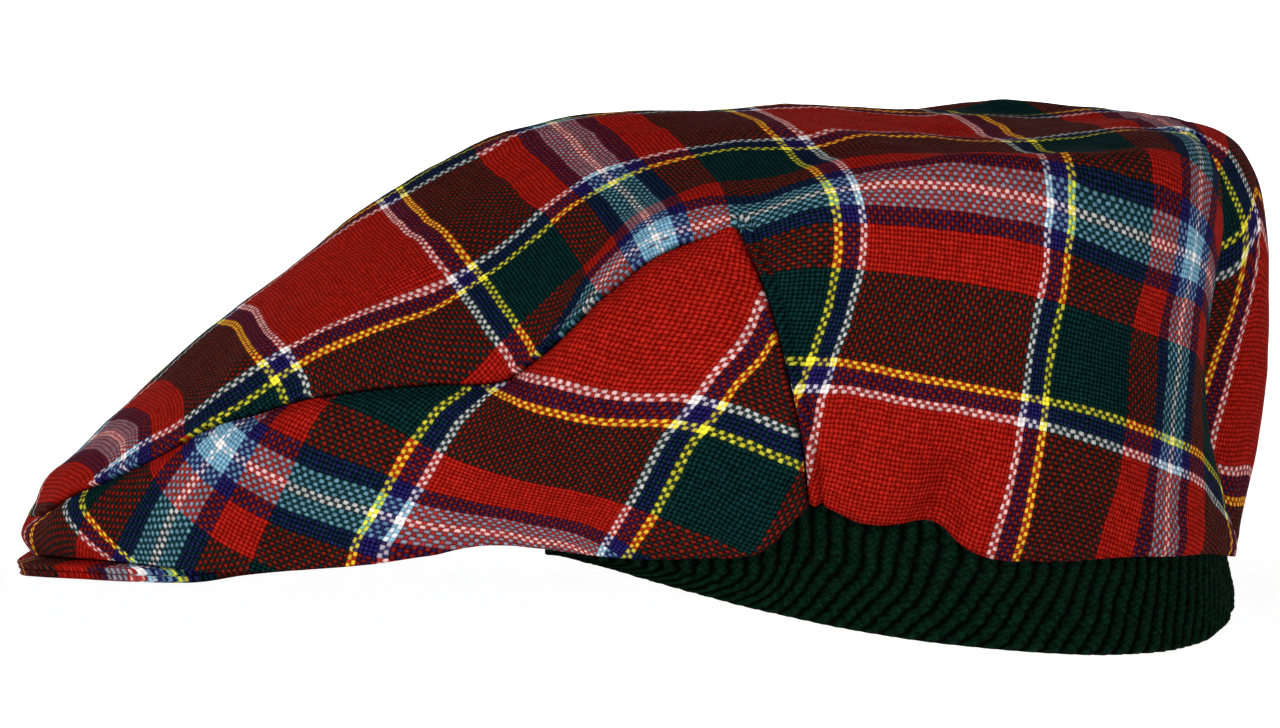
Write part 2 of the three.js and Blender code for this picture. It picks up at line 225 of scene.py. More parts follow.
class SmoothCurve:
    """A smooth curve through the points of a short table."""

    def __init__(self, xs: Sequence[float], ys: Sequence[float], flat_ends: bool = True) -> None:
        """Works out the slopes.

        Args:
            xs: Rising places of the points.
            ys: Values there.
            flat_ends: Whether the curve is level at both ends.
        """
        self.x, self.y = np.asarray(xs, float), np.asarray(ys, float)
        secant = np.diff(self.y) / np.diff(self.x)
        step = np.diff(self.x)
        inner = (secant[:-1] * step[1:] + secant[1:] * step[:-1]) / (step[:-1] + step[1:])
        ends = (0.0, 0.0) if flat_ends else (secant[0], secant[-1])
        self.slope = np.concatenate([[ends[0]], inner, [ends[1]]])

    def __call__(self, x: Array) -> Array:
        """Reads the curve.

        Args:
            x: Places along the curve.

        Returns:
            The curve's values there.
        """
        i = np.clip(np.searchsorted(self.x, x, side="right") - 1, 0, len(self.x) - 2)
        h = self.x[i + 1] - self.x[i]
        t = (x - self.x[i]) / h
        return hermite(self.y[i], self.y[i + 1], self.slope[i] * h, self.slope[i + 1] * h, t)


def curves_through(rows: Sequence[Any], names: Sequence[str]) -> dict[str, SmoothCurve]:
    """One curve over phi for each named column of a table."""
    phis = [row.phi for row in rows]
    return {name: SmoothCurve(phis, [getattr(row, name) for row in rows]) for name in names}


def polar(phi: Array, r: Array, z: Array) -> Array:
    """Points at the angle phi, in degrees, the radius r and the height z."""
    a = np.radians(phi)
    return np.stack(np.broadcast_arrays(-r * np.cos(a), -r * np.sin(a), z), axis=-1)


def unit(v: Array) -> Array:
    """Vectors of length one."""
    return v / np.maximum(np.linalg.norm(v, axis=-1, keepdims=True), 1e-12)


def distance_to(points: Array, line: Array) -> Array:
    """Measures how far points lie from a line on the left half.

    Args:
        points: Points anywhere; those on the right half are measured to the line's mirror image.
        line: Corners of the line.

    Returns:
        A distance for each point.
    """
    p = points.reshape(-1, 3).copy()
    p[:, 1] = -np.abs(p[:, 1])
    nearest = np.full(len(p), np.inf)
    for a, b in zip(line[:-1], line[1:]):
        way = b - a
        along = np.clip((p - a) @ way / max(way @ way, 1e-9), 0, 1)
        nearest = np.minimum(nearest, np.linalg.norm(p - a - along[:, None] * way, axis=1))
    return nearest.reshape(points.shape[:-1])


def normal_of(surface: Surface, phi: Array, w: Array) -> Array:
    """Finds the outward normals of a surface.

    Args:
        surface: The surface as a function of phi and w.
        phi: Angles, in degrees.
        w: Places up the sections.

    Returns:
        A vector of length one for each place; straight up at the middle of the roof.
    """
    low, high = np.maximum(0, w - 0.004), np.minimum(0.999, w + 0.004)
    along = surface(phi, high) - surface(phi, low)
    around = surface(phi + 0.4, w) - surface(phi - 0.4, w)
    found = unit(np.cross(around, along))
    return np.where((w > 0.995)[..., None], np.array([0.0, 0.0, 1.0]), found)


def height_of(folds: list[tuple[Array, Fold]], points: Array) -> Array:
    """Height of all the folds together at some points."""
    return sum(fold.height * bell(distance_to(points, line), fold.reach) for line, fold in folds)


def lines_of(folds: Sequence[Fold], surface: Surface) -> list[tuple[Array, Fold]]:
    """Each fold with five points along it on a surface."""
    t = np.linspace(0, 1, 5)
    return [(surface(f.phi_a + (f.phi_b - f.phi_a) * t, f.w_a + (f.w_b - f.w_a) * t), f) for f in folds]


@dataclass
class CrownShape:
    """The outer surface of the crown as a function of phi and w.

    Attributes:
        apex_z: Height of the middle of the roof.
        shoulder_roll: How far the roof takes to turn flat behind the edge of the wall.
        corner_deg: Angle at which the upper seam meets the rear seam.
    """

    apex_z: float = 86.6
    shoulder_roll: float = 34.0
    corner_deg: float = 92.0
    curves: dict[str, SmoothCurve] = field(init=False)
    rear_seam: SmoothCurve = field(init=False)
    fold_lines: list[tuple[Array, Fold]] = field(init=False)

    def __post_init__(self) -> None:
        """Turns the tables into curves."""
        names = ("hem_r", "hem_z", "belly_r", "edge_r", "edge_z", "roof_out", "roof_in")
        self.curves = curves_through(SECTIONS, names)
        seam_phi = (101.8, 100.4, 98.7, 96.2, self.corner_deg)
        self.rear_seam = SmoothCurve((0, 0.125, 0.25, 0.375, 0.5), seam_phi, False)
        self.fold_lines = lines_of(FOLDS, self.plain)

    def plain(self, phi: Array, w: Array) -> Array:
        """Finds points of the surface without its folds.

        Args:
            phi: Angles, in degrees.
            w: Places up the sections.

        Returns:
            The points, in millimetres.
        """
        phi, w = np.broadcast_arrays(np.asarray(phi, float), np.asarray(w, float))
        c = {n: f(np.abs(phi)) for n, f in self.curves.items()}
        zero = np.zeros_like(phi)
        knot_w = np.array([0, 0.25, 0.5, 2 / 3, 5 / 6, 1.0])
        knots = np.stack([
            np.stack([c["hem_r"], c["hem_z"]]), np.stack([c["belly_r"], (c["hem_z"] + c["edge_z"]) / 2]),
            np.stack([c["edge_r"], c["edge_z"]]), np.stack([c["edge_r"] * 2 / 3, c["roof_out"]]),
            np.stack([c["edge_r"] / 3, c["roof_in"]]), np.stack([zero, zero + self.apex_z])])
        length, slopes = self._slopes(knots)
        result = np.zeros((2,) + phi.shape)
        for i in range(5):
            inside = (w >= knot_w[i]) if i == 4 else (w >= knot_w[i]) & (w <= knot_w[i + 1])
            t = (w - knot_w[i]) / (knot_w[i + 1] - knot_w[i])
            leaving = np.minimum(1, self.shoulder_roll / length[2]) if i == 2 else 1.0
            start, end = slopes[i] * leaving * length[i], slopes[i + 1] * length[i]
            result = np.where(inside, hermite(knots[i], knots[i + 1], start, end, t), result)
        return polar(phi, result[0], result[1])

    def _slopes(self, knots: Array) -> tuple[Array, Array]:
        """Chooses the direction of a section at each of its knots.

        Args:
            knots: Radius and height of the six knots of each section.

        Returns:
            The distances from knot to knot, and the directions.
        """
        step = np.diff(knots, axis=0)
        length = np.sqrt((step**2).sum(axis=1))
        ways = step / length[:, None]
        slopes = np.zeros_like(knots)
        turned_in = np.array([0.3, -0.1]).reshape((2,) + (1,) * (knots.ndim - 2))
        slopes[0] = ways[0] * 1.3 + turned_in
        for i in (1, 3, 4):
            a, b = length[i - 1], length[i]
            slopes[i] = (ways[i - 1] * b + ways[i] * a) / (a + b)
        both = ways[1] + ways[2]
        slopes[2] = both / np.sqrt((both**2).sum(axis=0))
        slopes[5] = np.stack([np.full_like(both[0], -1.0), np.zeros_like(both[0])])
        return length, slopes

    def fold_height(self, points: Array) -> Array:
        """Height of all folds at some points; the right half repeats the folds of the left."""
        return height_of(self.fold_lines, points)

    def folded(self, phi: Array, w: Array) -> Array:
        """Finds points of the surface with its folds, as in CAD.

        Args:
            phi: Angles, in degrees.
            w: Places up the sections.

        Returns:
            The points, in millimetres.
        """
        phi, w = np.broadcast_arrays(np.asarray(phi, float), np.asarray(w, float))
        p = self.plain(phi, w)
        return p + normal_of(self.plain, phi, w) * self.fold_height(p)[..., None]


CROWN = CrownShape()


WORN_FOLDS = (
    Fold("deep gather at the hem", 116.6, 0, 118.2, 0.08, 4.2, -2.4),
    Fold("lobe before the gather", 108, 0.03, 112, 0.05, 8, 1.2),
    Fold("lobe behind the gather", 121.5, 0.03, 122, 0.12, 6, 1.3),
    Fold("flat tip of the nose", 0, 0.27, 14, 0.25, 9, -1.3),
    Fold("filled edge of the nose", 0, 0.53, 14, 0.53, 4, 0.9),
    Fold("slack above the seam", 44, 0.6, 58, 0.63, 12, 1.2),
    Fold("slack in the side panel", 40, 0.24, 58, 0.14, 13, -1.2),
    Fold("crease from the corner", 96, 0.56, 108, 0.7, 9, -1.3),
    Fold("drape behind the corner", 104, 0.47, 126, 0.56, 9, 1.3),
    Fold("hollow in the rear side", 112, 0.22, 140, 0.3, 14, -1.5),
    Fold("rise in the rear side", 126, 0.36, 150, 0.4, 12, 1.2),
)


@dataclass
class WornShape:
    """The crown as it is worn: its seams pulled in and its left back lying flatter than CAD's.

    Attributes:
        lip_mm: How far the roof's edge stands out over the side panels.
        tuck_mm: How far a side panel dips under that edge.
        groove_mm: Depth of the stitched line behind the rear seam.
        crease_mm: Depth of the line where two panels meet.
        wave_mm: Height of the broad random waves in the cloth.
        ripple_mm: Height of the short random waves.
    """

    lip_mm: float = 0.8
    tuck_mm: float = 0.9
    groove_mm: float = 1.6
    crease_mm: float = 1.0
    wave_mm: float = 0.75
    ripple_mm: float = 0.28
    flatter: SmoothCurve = field(init=False)
    flatter_up: SmoothCurve = field(init=False)
    sink: SmoothCurve = field(init=False)
    upper_seam: Array = field(init=False)
    rear_seam: Array = field(init=False)
    back_seam: Array = field(init=False)
    fold_lines: list[tuple[Array, Fold]] = field(init=False)

    def __post_init__(self) -> None:
        """Places the seams; angles run on past 180 to the right half."""
        self.flatter = SmoothCurve((0, 108, 115, 122, 138, 150, 164, 172, 180, 187, 194, 201, 208, 360),
                                   (0, 0, 0, 0, 1.8, 5.4, 9.6, 9.6, 8.0, 3.6, 0.6, 0, 0, 0))
        self.flatter_up = SmoothCurve((0, 0.05, 0.12, 0.4, 0.5, 0.57, 0.61, 0.65, 1),
                                      (0, 0.5, 0.95, 1, 0.6, 0.05, 0, 0, 0))
        self.sink = SmoothCurve((-200, -10, 2, 15, 45, 95, 150), (0, 0, 0, 0, 1.7, 1.7, 1.7))
        w = np.linspace(0, 0.5, 40)
        self.upper_seam = self.pressed(np.linspace(2, 92, 90), np.full(90, 0.5))
        self.rear_seam = self.pressed(CROWN.rear_seam(w), w)
        self.back_seam = self.pressed(np.full(46, 180.0), np.linspace(0, 0.56, 46))
        self.fold_lines = lines_of(WORN_FOLDS, self.pressed)

    def pressed(self, phi: Array, w: Array) -> Array:
        """Finds points of CAD's surface with its flatter left back.

        Args:
            phi: Angles, in degrees.
            w: Places up the sections.

        Returns:
            The points, in millimetres.
        """
        p = CROWN.folded(phi, w)
        around = np.where(np.asarray(phi) < 0, np.asarray(phi) + 360.0, phi)
        around, up = np.broadcast_to(around, p.shape[:-1]), np.broadcast_to(w, p.shape[:-1])
        outward = unit(p * np.array([1.0, 1.0, 0.0]) + 1e-9)
        p = p - outward * (self.flatter(around) * self.flatter_up(up))[..., None]
        p[..., 2] -= self.sink(p[..., 0]) * eased(np.clip((up - 0.5) / 0.12, 0, 1))
        return p

    def seam_height(self, points: Array, phi: Array, w: Array) -> Array:
        """Works out the lips, creases and grooves along the seams.

        Args:
            points: Points of the pressed surface.
            phi: Their angles, in degrees.
            w: Their places up the sections.

        Returns:
            A height for each point.
        """
        side, w = np.abs(np.broadcast_to(phi, points.shape[:-1])), np.broadcast_to(w, points.shape[:-1])
        seams = (self.upper_seam, self.rear_seam, self.back_seam)
        upper, rear, back = (distance_to(points, seam) for seam in seams)
        fade = np.clip((side - 5) / 9, 0, 1) * np.clip((91.5 - side) / 7, 0, 1)
        lip, tuck = self.lip_mm * bell(upper - 1.2, 1.7), -self.tuck_mm * bell(upper, 2.2)
        total = fade * np.where(w > 0.5, lip, tuck)
        behind = side > CROWN.rear_seam(np.minimum(w, 0.5))
        groove = 0.45 * bell(rear - 1.3, 0.7) - self.groove_mm * bell(rear - 2.6, 0.55)
        puff = 0.5 * bell(rear - 2.4, 1.6)
        total += np.where(behind, groove, puff) - self.crease_mm * bell(rear, 0.6)
        return total + 0.6 * bell(back - 3.0, 1.6) - 1.5 * bell(back, 1.3)

    def unevenness(self, points: Array) -> Array:
        """Works out the looser folds and the small random waves in the cloth.

        Args:
            points: Points of the pressed surface.

        Returns:
            A height for each point.
        """
        waves = [self.wave_mm * noise.fractal(Vector(v * 0.032), 1.0, 2.0, 3)
                 + self.ripple_mm * noise.fractal(Vector(v * 0.11), 1.0, 2.0, 2)
                 for v in points.reshape(-1, 3)]
        return np.array(waves).reshape(points.shape[:-1]) + height_of(self.fold_lines, points)

    def fine(self, phi: Array, w: Array) -> Array:
        """Finds points of the finished outer surface.

        Args:
            phi: Angles, in degrees.
            w: Places up the sections.

        Returns:
            The points, in millimetres.
        """
        p = self.pressed(phi, w)
        fade = np.clip((0.97 - w) / 0.1, 0, 1)
        lift = self.seam_height(p, phi, w) + self.unevenness(p) * fade
        return p + normal_of(self.pressed, phi, w) * lift[..., None]


WORN = WornShape()


# The photograph's camera


@dataclass(frozen=True)
class PhotoCamera:
    """The camera that matches the photograph.

    Attributes:
        azimuth: Degrees from the left side towards the back.
        elevation: Degrees above the rim's plane.
        distance: Millimetres to the point it looks at.
        scale: Millimetres per photo pixel at that point.
        origin_x: Photo pixel, across, of the head opening's centre.
        origin_y: Photo pixel, down, of the head opening's centre.
    """

    azimuth: float = 7.0
    elevation: float = 6.5
    distance: float = 1400.0
    scale: float = 0.215
    origin_x: float = 763.0
    origin_y: float = 516.0

    def axes(self) -> tuple[Array, Array, Array]:
        """The camera's right, up and backward directions."""
        a, e = math.radians(self.azimuth), math.radians(self.elevation)
        right = np.array([math.cos(a), math.sin(a), 0.0])
        back = np.array([math.sin(a) * math.cos(e), -math.cos(a) * math.cos(e), math.sin(e)])
        return right, np.cross(back, right), back

    def target(self) -> Array:
        """The point that it looks at, in millimetres."""
        right, up, _ = self.axes()
        across, rise = self.origin_x - PHOTO_WIDTH / 2, PHOTO_HEIGHT / 2 - self.origin_y
        return -(across * right + rise * up) * self.scale

    def project(self, points: Array) -> tuple[Array, Array]:
        """Finds where points appear in the photograph.

        Args:
            points: Points in millimetres.

        Returns:
            Their photo pixels, and their distances.
        """
        right, up, back = self.axes()
        d = points - (self.target() + back * self.distance)
        depth = -(d @ back)
        focal = self.distance / self.scale
        across, rise = focal * (d @ right) / depth, focal * (d @ up) / depth
        return np.stack([PHOTO_WIDTH / 2 + across, PHOTO_HEIGHT / 2 - rise], -1), depth

    def build(self) -> bpy.types.Object:
        """Makes the scene's camera.

        Returns:
            The camera's object.
        """
        right, up, back = self.axes()
        data = bpy.data.cameras.new("photo_camera")
        data.sensor_width = 36.0
        data.lens = 36.0 * self.distance / self.scale / PHOTO_WIDTH
        data.clip_start, data.clip_end = 0.05, 20.0
        camera = bpy.data.objects.new("photo_camera", data)
        place = (self.target() + back * self.distance) * MM
        turn = Matrix((right, up, back)).transposed().to_4x4()
        camera.matrix_world = Matrix.Translation(Vector(place)) @ turn
        bpy.context.scene.collection.objects.link(camera)
        bpy.context.scene.camera = camera
        return camera


CAMERA = PhotoCamera()


# How the tartan lies on the cap


class Threads(Enum):
    """The two sets of threads, by the way in which their stripes are counted."""

    ALONG = 0
    DOWN = 1


ALONG, DOWN = Threads


@dataclass(frozen=True)
class Stripe:
    """A stripe of the tartan as it runs in the photograph.

    Attributes:
        threads: Which set it belongs to.
        count: Its place in threads from the middle of a light blue stripe.
        spots: Photo pixels along it, (across, down).
        spacing: Pixels between two places that are worked out along it.
        longest_gap: Pixels between two spots over which the stripe counts as hidden.
    """

    threads: Threads
    count: float
    spots: tuple[tuple[int, int], ...]
    spacing: float = 10.0
    longest_gap: float = 130.0

    def trace(self) -> Array:
        """Follows the stripe on a smooth line through its spots.

        Returns:
            Photo pixels at even steps, without the hidden stretches.
        """
        spots = np.asarray(self.spots, float)
        run = np.concatenate([[0], np.cumsum(np.linalg.norm(np.diff(spots, axis=0), axis=1))])
        steps = np.linspace(0, run[-1], max(2, round(run[-1] / self.spacing)))
        lines = [SmoothCurve(run, spots[:, k], False)(steps) for k in (0, 1)]
        gaps = [(a, b) for a, b in zip(run[:-1], run[1:]) if b - a > self.longest_gap]
        hidden = np.array([any(a < s < b for a, b in gaps) for s in steps])
        return np.stack(lines, 1)[~hidden]


TOP_STRIPES = (
    Stripe(DOWN, -92, ((290, 262), (345, 230), (384, 208), (470, 163), (505, 146))),
    Stripe(DOWN, -46, ((90, 480), (137, 447), (180, 421), (208, 403), (263, 362), (291, 347), (329, 330),
                       (384, 305), (453, 286), (493, 260), (533, 228), (576, 188), (613, 169), (677, 152),
                       (747, 143), (801, 140), (877, 124))),
    Stripe(DOWN, -40, ((740, 150), (809, 146), (905, 128))),
    Stripe(DOWN, 0, ((155, 463), (582, 302), (603, 286), (623, 255), (656, 237), (695, 227),
                     (740, 215), (809, 196), (877, 189), (953, 189), (1046, 204), (1118, 232),
                     (1187, 259))),
    Stripe(DOWN, 40, ((790, 362), (833, 362), (900, 375), (960, 387), (1040, 402), (1100, 414),
                      (1150, 433), (1204, 455))),
    Stripe(DOWN, 46, ((795, 390), (833, 388), (900, 400), (1000, 417), (1040, 423), (1110, 445),
                      (1160, 462), (1207, 485))),
    Stripe(ALONG, 0, ((131, 406), (134, 424), (138, 442))),
    Stripe(ALONG, 40, ((241, 308), (267, 356), (285, 390))),
    Stripe(ALONG, 46, ((256, 295), (288, 347), (315, 387))),
    Stripe(ALONG, 92, ((385, 211), (455, 286), (511, 356))),
    Stripe(ALONG, 98, ((398, 196), (481, 277), (530, 345))),
    Stripe(ALONG, 138, ((535, 136), (576, 158), (625, 198), (654, 232))),
    Stripe(ALONG, 178, ((740, 120), (790, 150), (825, 180), (838, 205), (840, 230), (838, 260), (832, 300),
                        (822, 340), (808, 370), (797, 400), (800, 440))),
    Stripe(ALONG, 184, ((752, 110), (800, 143), (850, 178), (862, 215), (864, 240), (858, 280), (848, 310),
                        (838, 340), (828, 375), (822, 400), (815, 430), (812, 465))),
    Stripe(ALONG, 230, ((1002, 116), (1030, 140), (1045, 165), (1050, 200), (1046, 250), (1040, 300),
                        (1032, 360), (1025, 420), (1010, 480), (990, 550))),
    Stripe(ALONG, 236, ((1050, 140), (1068, 165), (1070, 190), (1064, 250), (1055, 330), (1048, 400),
                        (1040, 440), (1030, 500), (1018, 555))),
    Stripe(ALONG, 276, ((1195, 130), (1198, 160), (1193, 230), (1187, 259), (1182, 330), (1178, 380),
                        (1172, 430), (1170, 480), (1165, 550))),
    Stripe(ALONG, 316, ((1228, 250), (1243, 222), (1251, 188))),
    Stripe(ALONG, 322, ((1225, 285), (1243, 250), (1254, 212))),
    Stripe(ALONG, 368, ((1232, 476), (1252, 453))),
    Stripe(ALONG, 374, ((1233, 510), (1247, 492))),
    Stripe(DOWN, -40, ((1238, 200), (1246, 225), (1256, 250))),
    Stripe(DOWN, -46, ((1237, 165), (1245, 205), (1254, 235))),
)

SIDE_STRIPES = (
    Stripe(ALONG, -40, ((33, 515), (27, 540), (33, 550))),
    Stripe(ALONG, 0, ((219, 446), (180, 500), (155, 560))),
    Stripe(ALONG, 40, ((459, 396), (434, 416), (405, 453), (387, 487), (348, 560))),
    Stripe(ALONG, 46, ((490, 391), (467, 412), (437, 459), (412, 500), (382, 545))),
    Stripe(ALONG, 92, ((763, 310), (744, 340), (698, 401), (665, 438), (631, 502), (600, 550))),
    Stripe(ALONG, 98, ((769, 343), (720, 404), (701, 429), (655, 511), (630, 550))),
    Stripe(DOWN, -46, ((524, 377), (570, 386), (619, 398), (698, 401), (741, 410), (788, 432))),
    Stripe(DOWN, -40, ((496, 395), (545, 413), (594, 421), (680, 423), (704, 429), (747, 444), (798, 463))),
    Stripe(DOWN, 0, ((219, 446), (254, 468), (291, 490), (330, 502), (411, 524), (502, 536), (590, 550))),
    Stripe(DOWN, 40, ((84, 513), (95, 527), (110, 545), (130, 558))),
    Stripe(DOWN, 46, ((67, 508), (70, 517), (80, 530), (97, 547), (130, 562))),
)


Pin = tuple[Array, Array, float, float]


@dataclass
class ClothLayout:
    """Lays flat threads on a curved panel with as little stretch as the stripes allow.

    Places in the cloth are counted in threads along and threads up; a pin is the three corners
    round a spot on a stripe, their shares of it, the stripe's count and the pin's weight.

    Attributes:
        points: Corners of a coarse net on the panel, in millimetres.
        faces: Its triangles, anticlockwise from outside.
        start: A first flat place for each corner, in threads.
        stripes: Where the stripes run in the photograph.
        pull: How strongly a stripe pulls the threads to itself.
        rounds: How often the layout is improved.
        full_pull_from: Cosine of the viewing angle from which a spot counts in full; a spot on cloth
            that is seen more edge-on is less certain and pulls less.
    """

    points: Array
    faces: Array
    start: Array
    stripes: Sequence[Stripe]
    pull: float = 5.0
    rounds: int = 60
    full_pull_from: float = 0.45

    def pins(self) -> tuple[list[Pin], list[Pin]]:
        """Finds the stripes' spots on the panel.

        Returns:
            The pins of the threads along, and those of the threads down.
        """
        pixels, depth = CAMERA.project(self.points)
        tri = pixels[self.faces]
        a, b, c = tri[:, 0], tri[:, 1], tri[:, 2]
        area = self._cross(b - a, c - a)
        p = self.points[self.faces]
        facing = unit(np.cross(p[:, 1] - p[:, 0], p[:, 2] - p[:, 0])) @ CAMERA.axes()[2]
        weights = self.pull * np.minimum(1, (facing / self.full_pull_from) ** 2)
        found: tuple[list[Pin], list[Pin]] = ([], [])
        for stripe in self.stripes:
            for spot in stripe.trace():
                s_a = self._cross(b - spot, c - spot) / area
                s_b = self._cross(c - spot, a - spot) / area
                shares = np.stack([s_a, s_b, 1 - s_a - s_b], 1)
                hit = np.where((shares.min(axis=1) >= -1e-6) & (area < 0))[0]
                if len(hit) == 0:
                    LOG.debug("stripe spot %s misses the panel", spot)
                    continue
                best = hit[np.argmin((depth[self.faces[hit]] * shares[hit]).sum(axis=1))]
                pin = (self.faces[best], shares[best], stripe.count, weights[best])
                found[stripe.threads.value].append(pin)
        return found

    def _cross(self, u: Array, v: Array) -> Array:
        """Twice the areas between two lists of flat vectors."""
        return u[:, 0] * v[:, 1] - u[:, 1] * v[:, 0]

    def _goal(self, axis: int, count: float) -> float:
        """A stripe's count as a place in the cloth, which is counted upwards in its second number."""
        return count if axis == Threads.ALONG.value else -count

    def _flattened(self) -> tuple[Array, Array]:
        """Lays each triangle flat by itself.

        Returns:
            The flat corners of the triangles, and the stiffness of their three sides.
        """
        p, f = self.points / THREAD_MM, self.faces
        e1, e2 = p[f[:, 1]] - p[f[:, 0]], p[f[:, 2]] - p[f[:, 0]]
        x_axis = unit(e1)
        y_axis = unit(np.cross(np.cross(e1, e2), e1))
        flat = np.zeros((len(f), 3, 2))
        flat[:, 1, 0] = (e1 * x_axis).sum(1)
        flat[:, 2, 0], flat[:, 2, 1] = (e2 * x_axis).sum(1), (e2 * y_axis).sum(1)
        stiff = np.zeros((len(f), 3))
        for k in range(3):
            u, v = flat[:, k] - flat[:, (k + 2) % 3], flat[:, (k + 1) % 3] - flat[:, (k + 2) % 3]
            stiff[:, k] = np.clip((u * v).sum(1) / np.maximum(np.abs(self._cross(u, v)), 1e-9), 0.05, 8)
        return flat, stiff

    def _pulled(self, pins: tuple[list[Pin], list[Pin]], stiff: Array) -> tuple[list[Array], list[Array]]:
        """Sets up the two sets of equations for the corners' places.

        Args:
            pins: The stripes' pins.
            stiff: Stiffness of each triangle's sides.

        Returns:
            The inverse matrix and the stripes' pull, for each of the two numbers of a place.
        """
        n, f = len(self.points), self.faces
        springs = np.zeros((n, n))
        for k in range(3):
            i, j = f[:, k], f[:, (k + 1) % 3]
            for r, s in ((i, j), (j, i)):
                np.add.at(springs, (r, r), stiff[:, k])
                np.add.at(springs, (r, s), -stiff[:, k])
        inverse, pulls = [], []
        for axis in (0, 1):
            matrix, pull = springs + np.eye(n) * 1e-7, np.zeros(n)
            for corners, shares, count, weight in pins[axis]:
                matrix[np.ix_(corners, corners)] += weight * np.outer(shares, shares)
                pull[corners] += weight * shares * self._goal(axis, count)
            inverse.append(np.linalg.inv(matrix))
            pulls.append(pull)
        return inverse, pulls

    def solve(self) -> Array:
        """Lays the cloth: turns every flat triangle to fit, then joins them again, many times.

        Returns:
            One row per corner: threads along and threads down.
        """
        n, f = len(self.points), self.faces
        flat, stiff = self._flattened()
        pins = self.pins()
        inverse, pulls = self._pulled(pins, stiff)
        q = self._turned_start(pins)
        sides = [(k, (k + 1) % 3) for k in range(3)]
        for _ in range(self.rounds):
            cov = np.zeros((len(f), 2, 2))
            for k, (i, j) in enumerate(sides):
                worn = q[f[:, i]] - q[f[:, j]]
                cov += stiff[:, k, None, None] * np.einsum("ta,tb->tab", worn, flat[:, i] - flat[:, j])
            angle = np.arctan2(cov[:, 1, 0] - cov[:, 0, 1], cov[:, 0, 0] + cov[:, 1, 1])
            cos, sin = np.cos(angle), np.sin(angle)
            b = np.zeros((n, 2))
            for k, (i, j) in enumerate(sides):
                d = flat[:, i] - flat[:, j]
                turned = np.stack([cos * d[:, 0] - sin * d[:, 1], sin * d[:, 0] + cos * d[:, 1]], 1)
                turned *= stiff[:, k, None]
                np.add.at(b, f[:, i], turned)
                np.add.at(b, f[:, j], -turned)
            q = np.stack([inverse[a] @ (b[:, a] + pulls[a]) for a in (0, 1)], 1)
        miss = [abs((q[c, a] * s).sum() - self._goal(a, t)) for a in (0, 1) for c, s, t, _ in pins[a]]
        LOG.info("cloth laid with %d spots, %.1f threads off on average", len(miss), np.mean(miss))
        return q * np.array([1.0, -1.0])

    def _turned_start(self, pins: tuple[list[Pin], list[Pin]]) -> Array:
        """Turns and moves the start to fit the stripes.

        Args:
            pins: The stripes' pins.

        Returns:
            A better first place for each corner.
        """
        rows, goals = [], []
        for axis in (0, 1):
            rows.append(np.array([(self.start[c] * s[:, None]).sum(0) for c, s, _, _ in pins[axis]]))
            goals.append(np.array([self._goal(axis, t) for _, _, t, _ in pins[axis]]))
        fits = [np.linalg.lstsq(np.c_[r, np.ones(len(r))], g, rcond=None)[0] for r, g in zip(rows, goals)]
        angle = math.atan2(fits[1][0] - fits[0][1], fits[0][0] + fits[1][1])
        turn = np.array([[math.cos(angle), -math.sin(angle)], [math.sin(angle), math.cos(angle)]])
        shift = [np.mean(g - r @ turn[a]) for a, (r, g) in enumerate(zip(rows, goals))]
        return self.start @ turn.T + np.array(shift)


# Meshes


def refine(grid: Array, factor: int, axis: int, closed: bool = False) -> Array:
    """Divides a net of values more finely along an axis, with smooth curves between its values.

    Args:
        grid: The net.
        factor: Fine steps for each coarse one.
        axis: The axis to divide.
        closed: Whether the last value is followed by the first.

    Returns:
        The finer net.
    """
    g = np.moveaxis(grid, axis, 0)
    n = len(g)
    if closed:
        slope = (np.roll(g, -1, 0) - np.roll(g, 1, 0)) / 2
    else:
        slope = np.concatenate([[g[1] - g[0]], (g[2:] - g[:-2]) / 2, [g[-1] - g[-2]]])
    out = []
    for i in range(n if closed else n - 1):
        k = (i + 1) % n
        out += [hermite(g[i], g[k], slope[i], slope[k], s / factor) for s in range(factor)]
    if not closed:
        out.append(g[-1])
    return np.moveaxis(np.array(out), 0, axis)


def quads_between(ids: Array, following: Array) -> Array:
    """Quads between the columns of a block of corners and the columns that follow them."""
    corners = [ids[:, :-1], following[:, :-1], following[:, 1:], ids[:, 1:]]
    return np.stack(corners, -1).reshape(-1, 4)


def make_object(name: str, points: Array, faces: Sequence[Sequence[int]]) -> bpy.types.Object:
    """Makes a smooth object and puts it into the scene.

    Args:
        name: Name of the object.
        points: Corners, in metres.
        faces: Numbers of each face's corners.

    Returns:
        The object.
    """
    mesh = bpy.data.meshes.new(name)
    mesh.from_pydata(points.tolist(), [], faces)
    mesh.polygons.foreach_set("use_smooth", [True] * len(faces))
    mesh.update()
    obj = bpy.data.objects.new(name, mesh)
    bpy.context.scene.collection.objects.link(obj)
    return obj


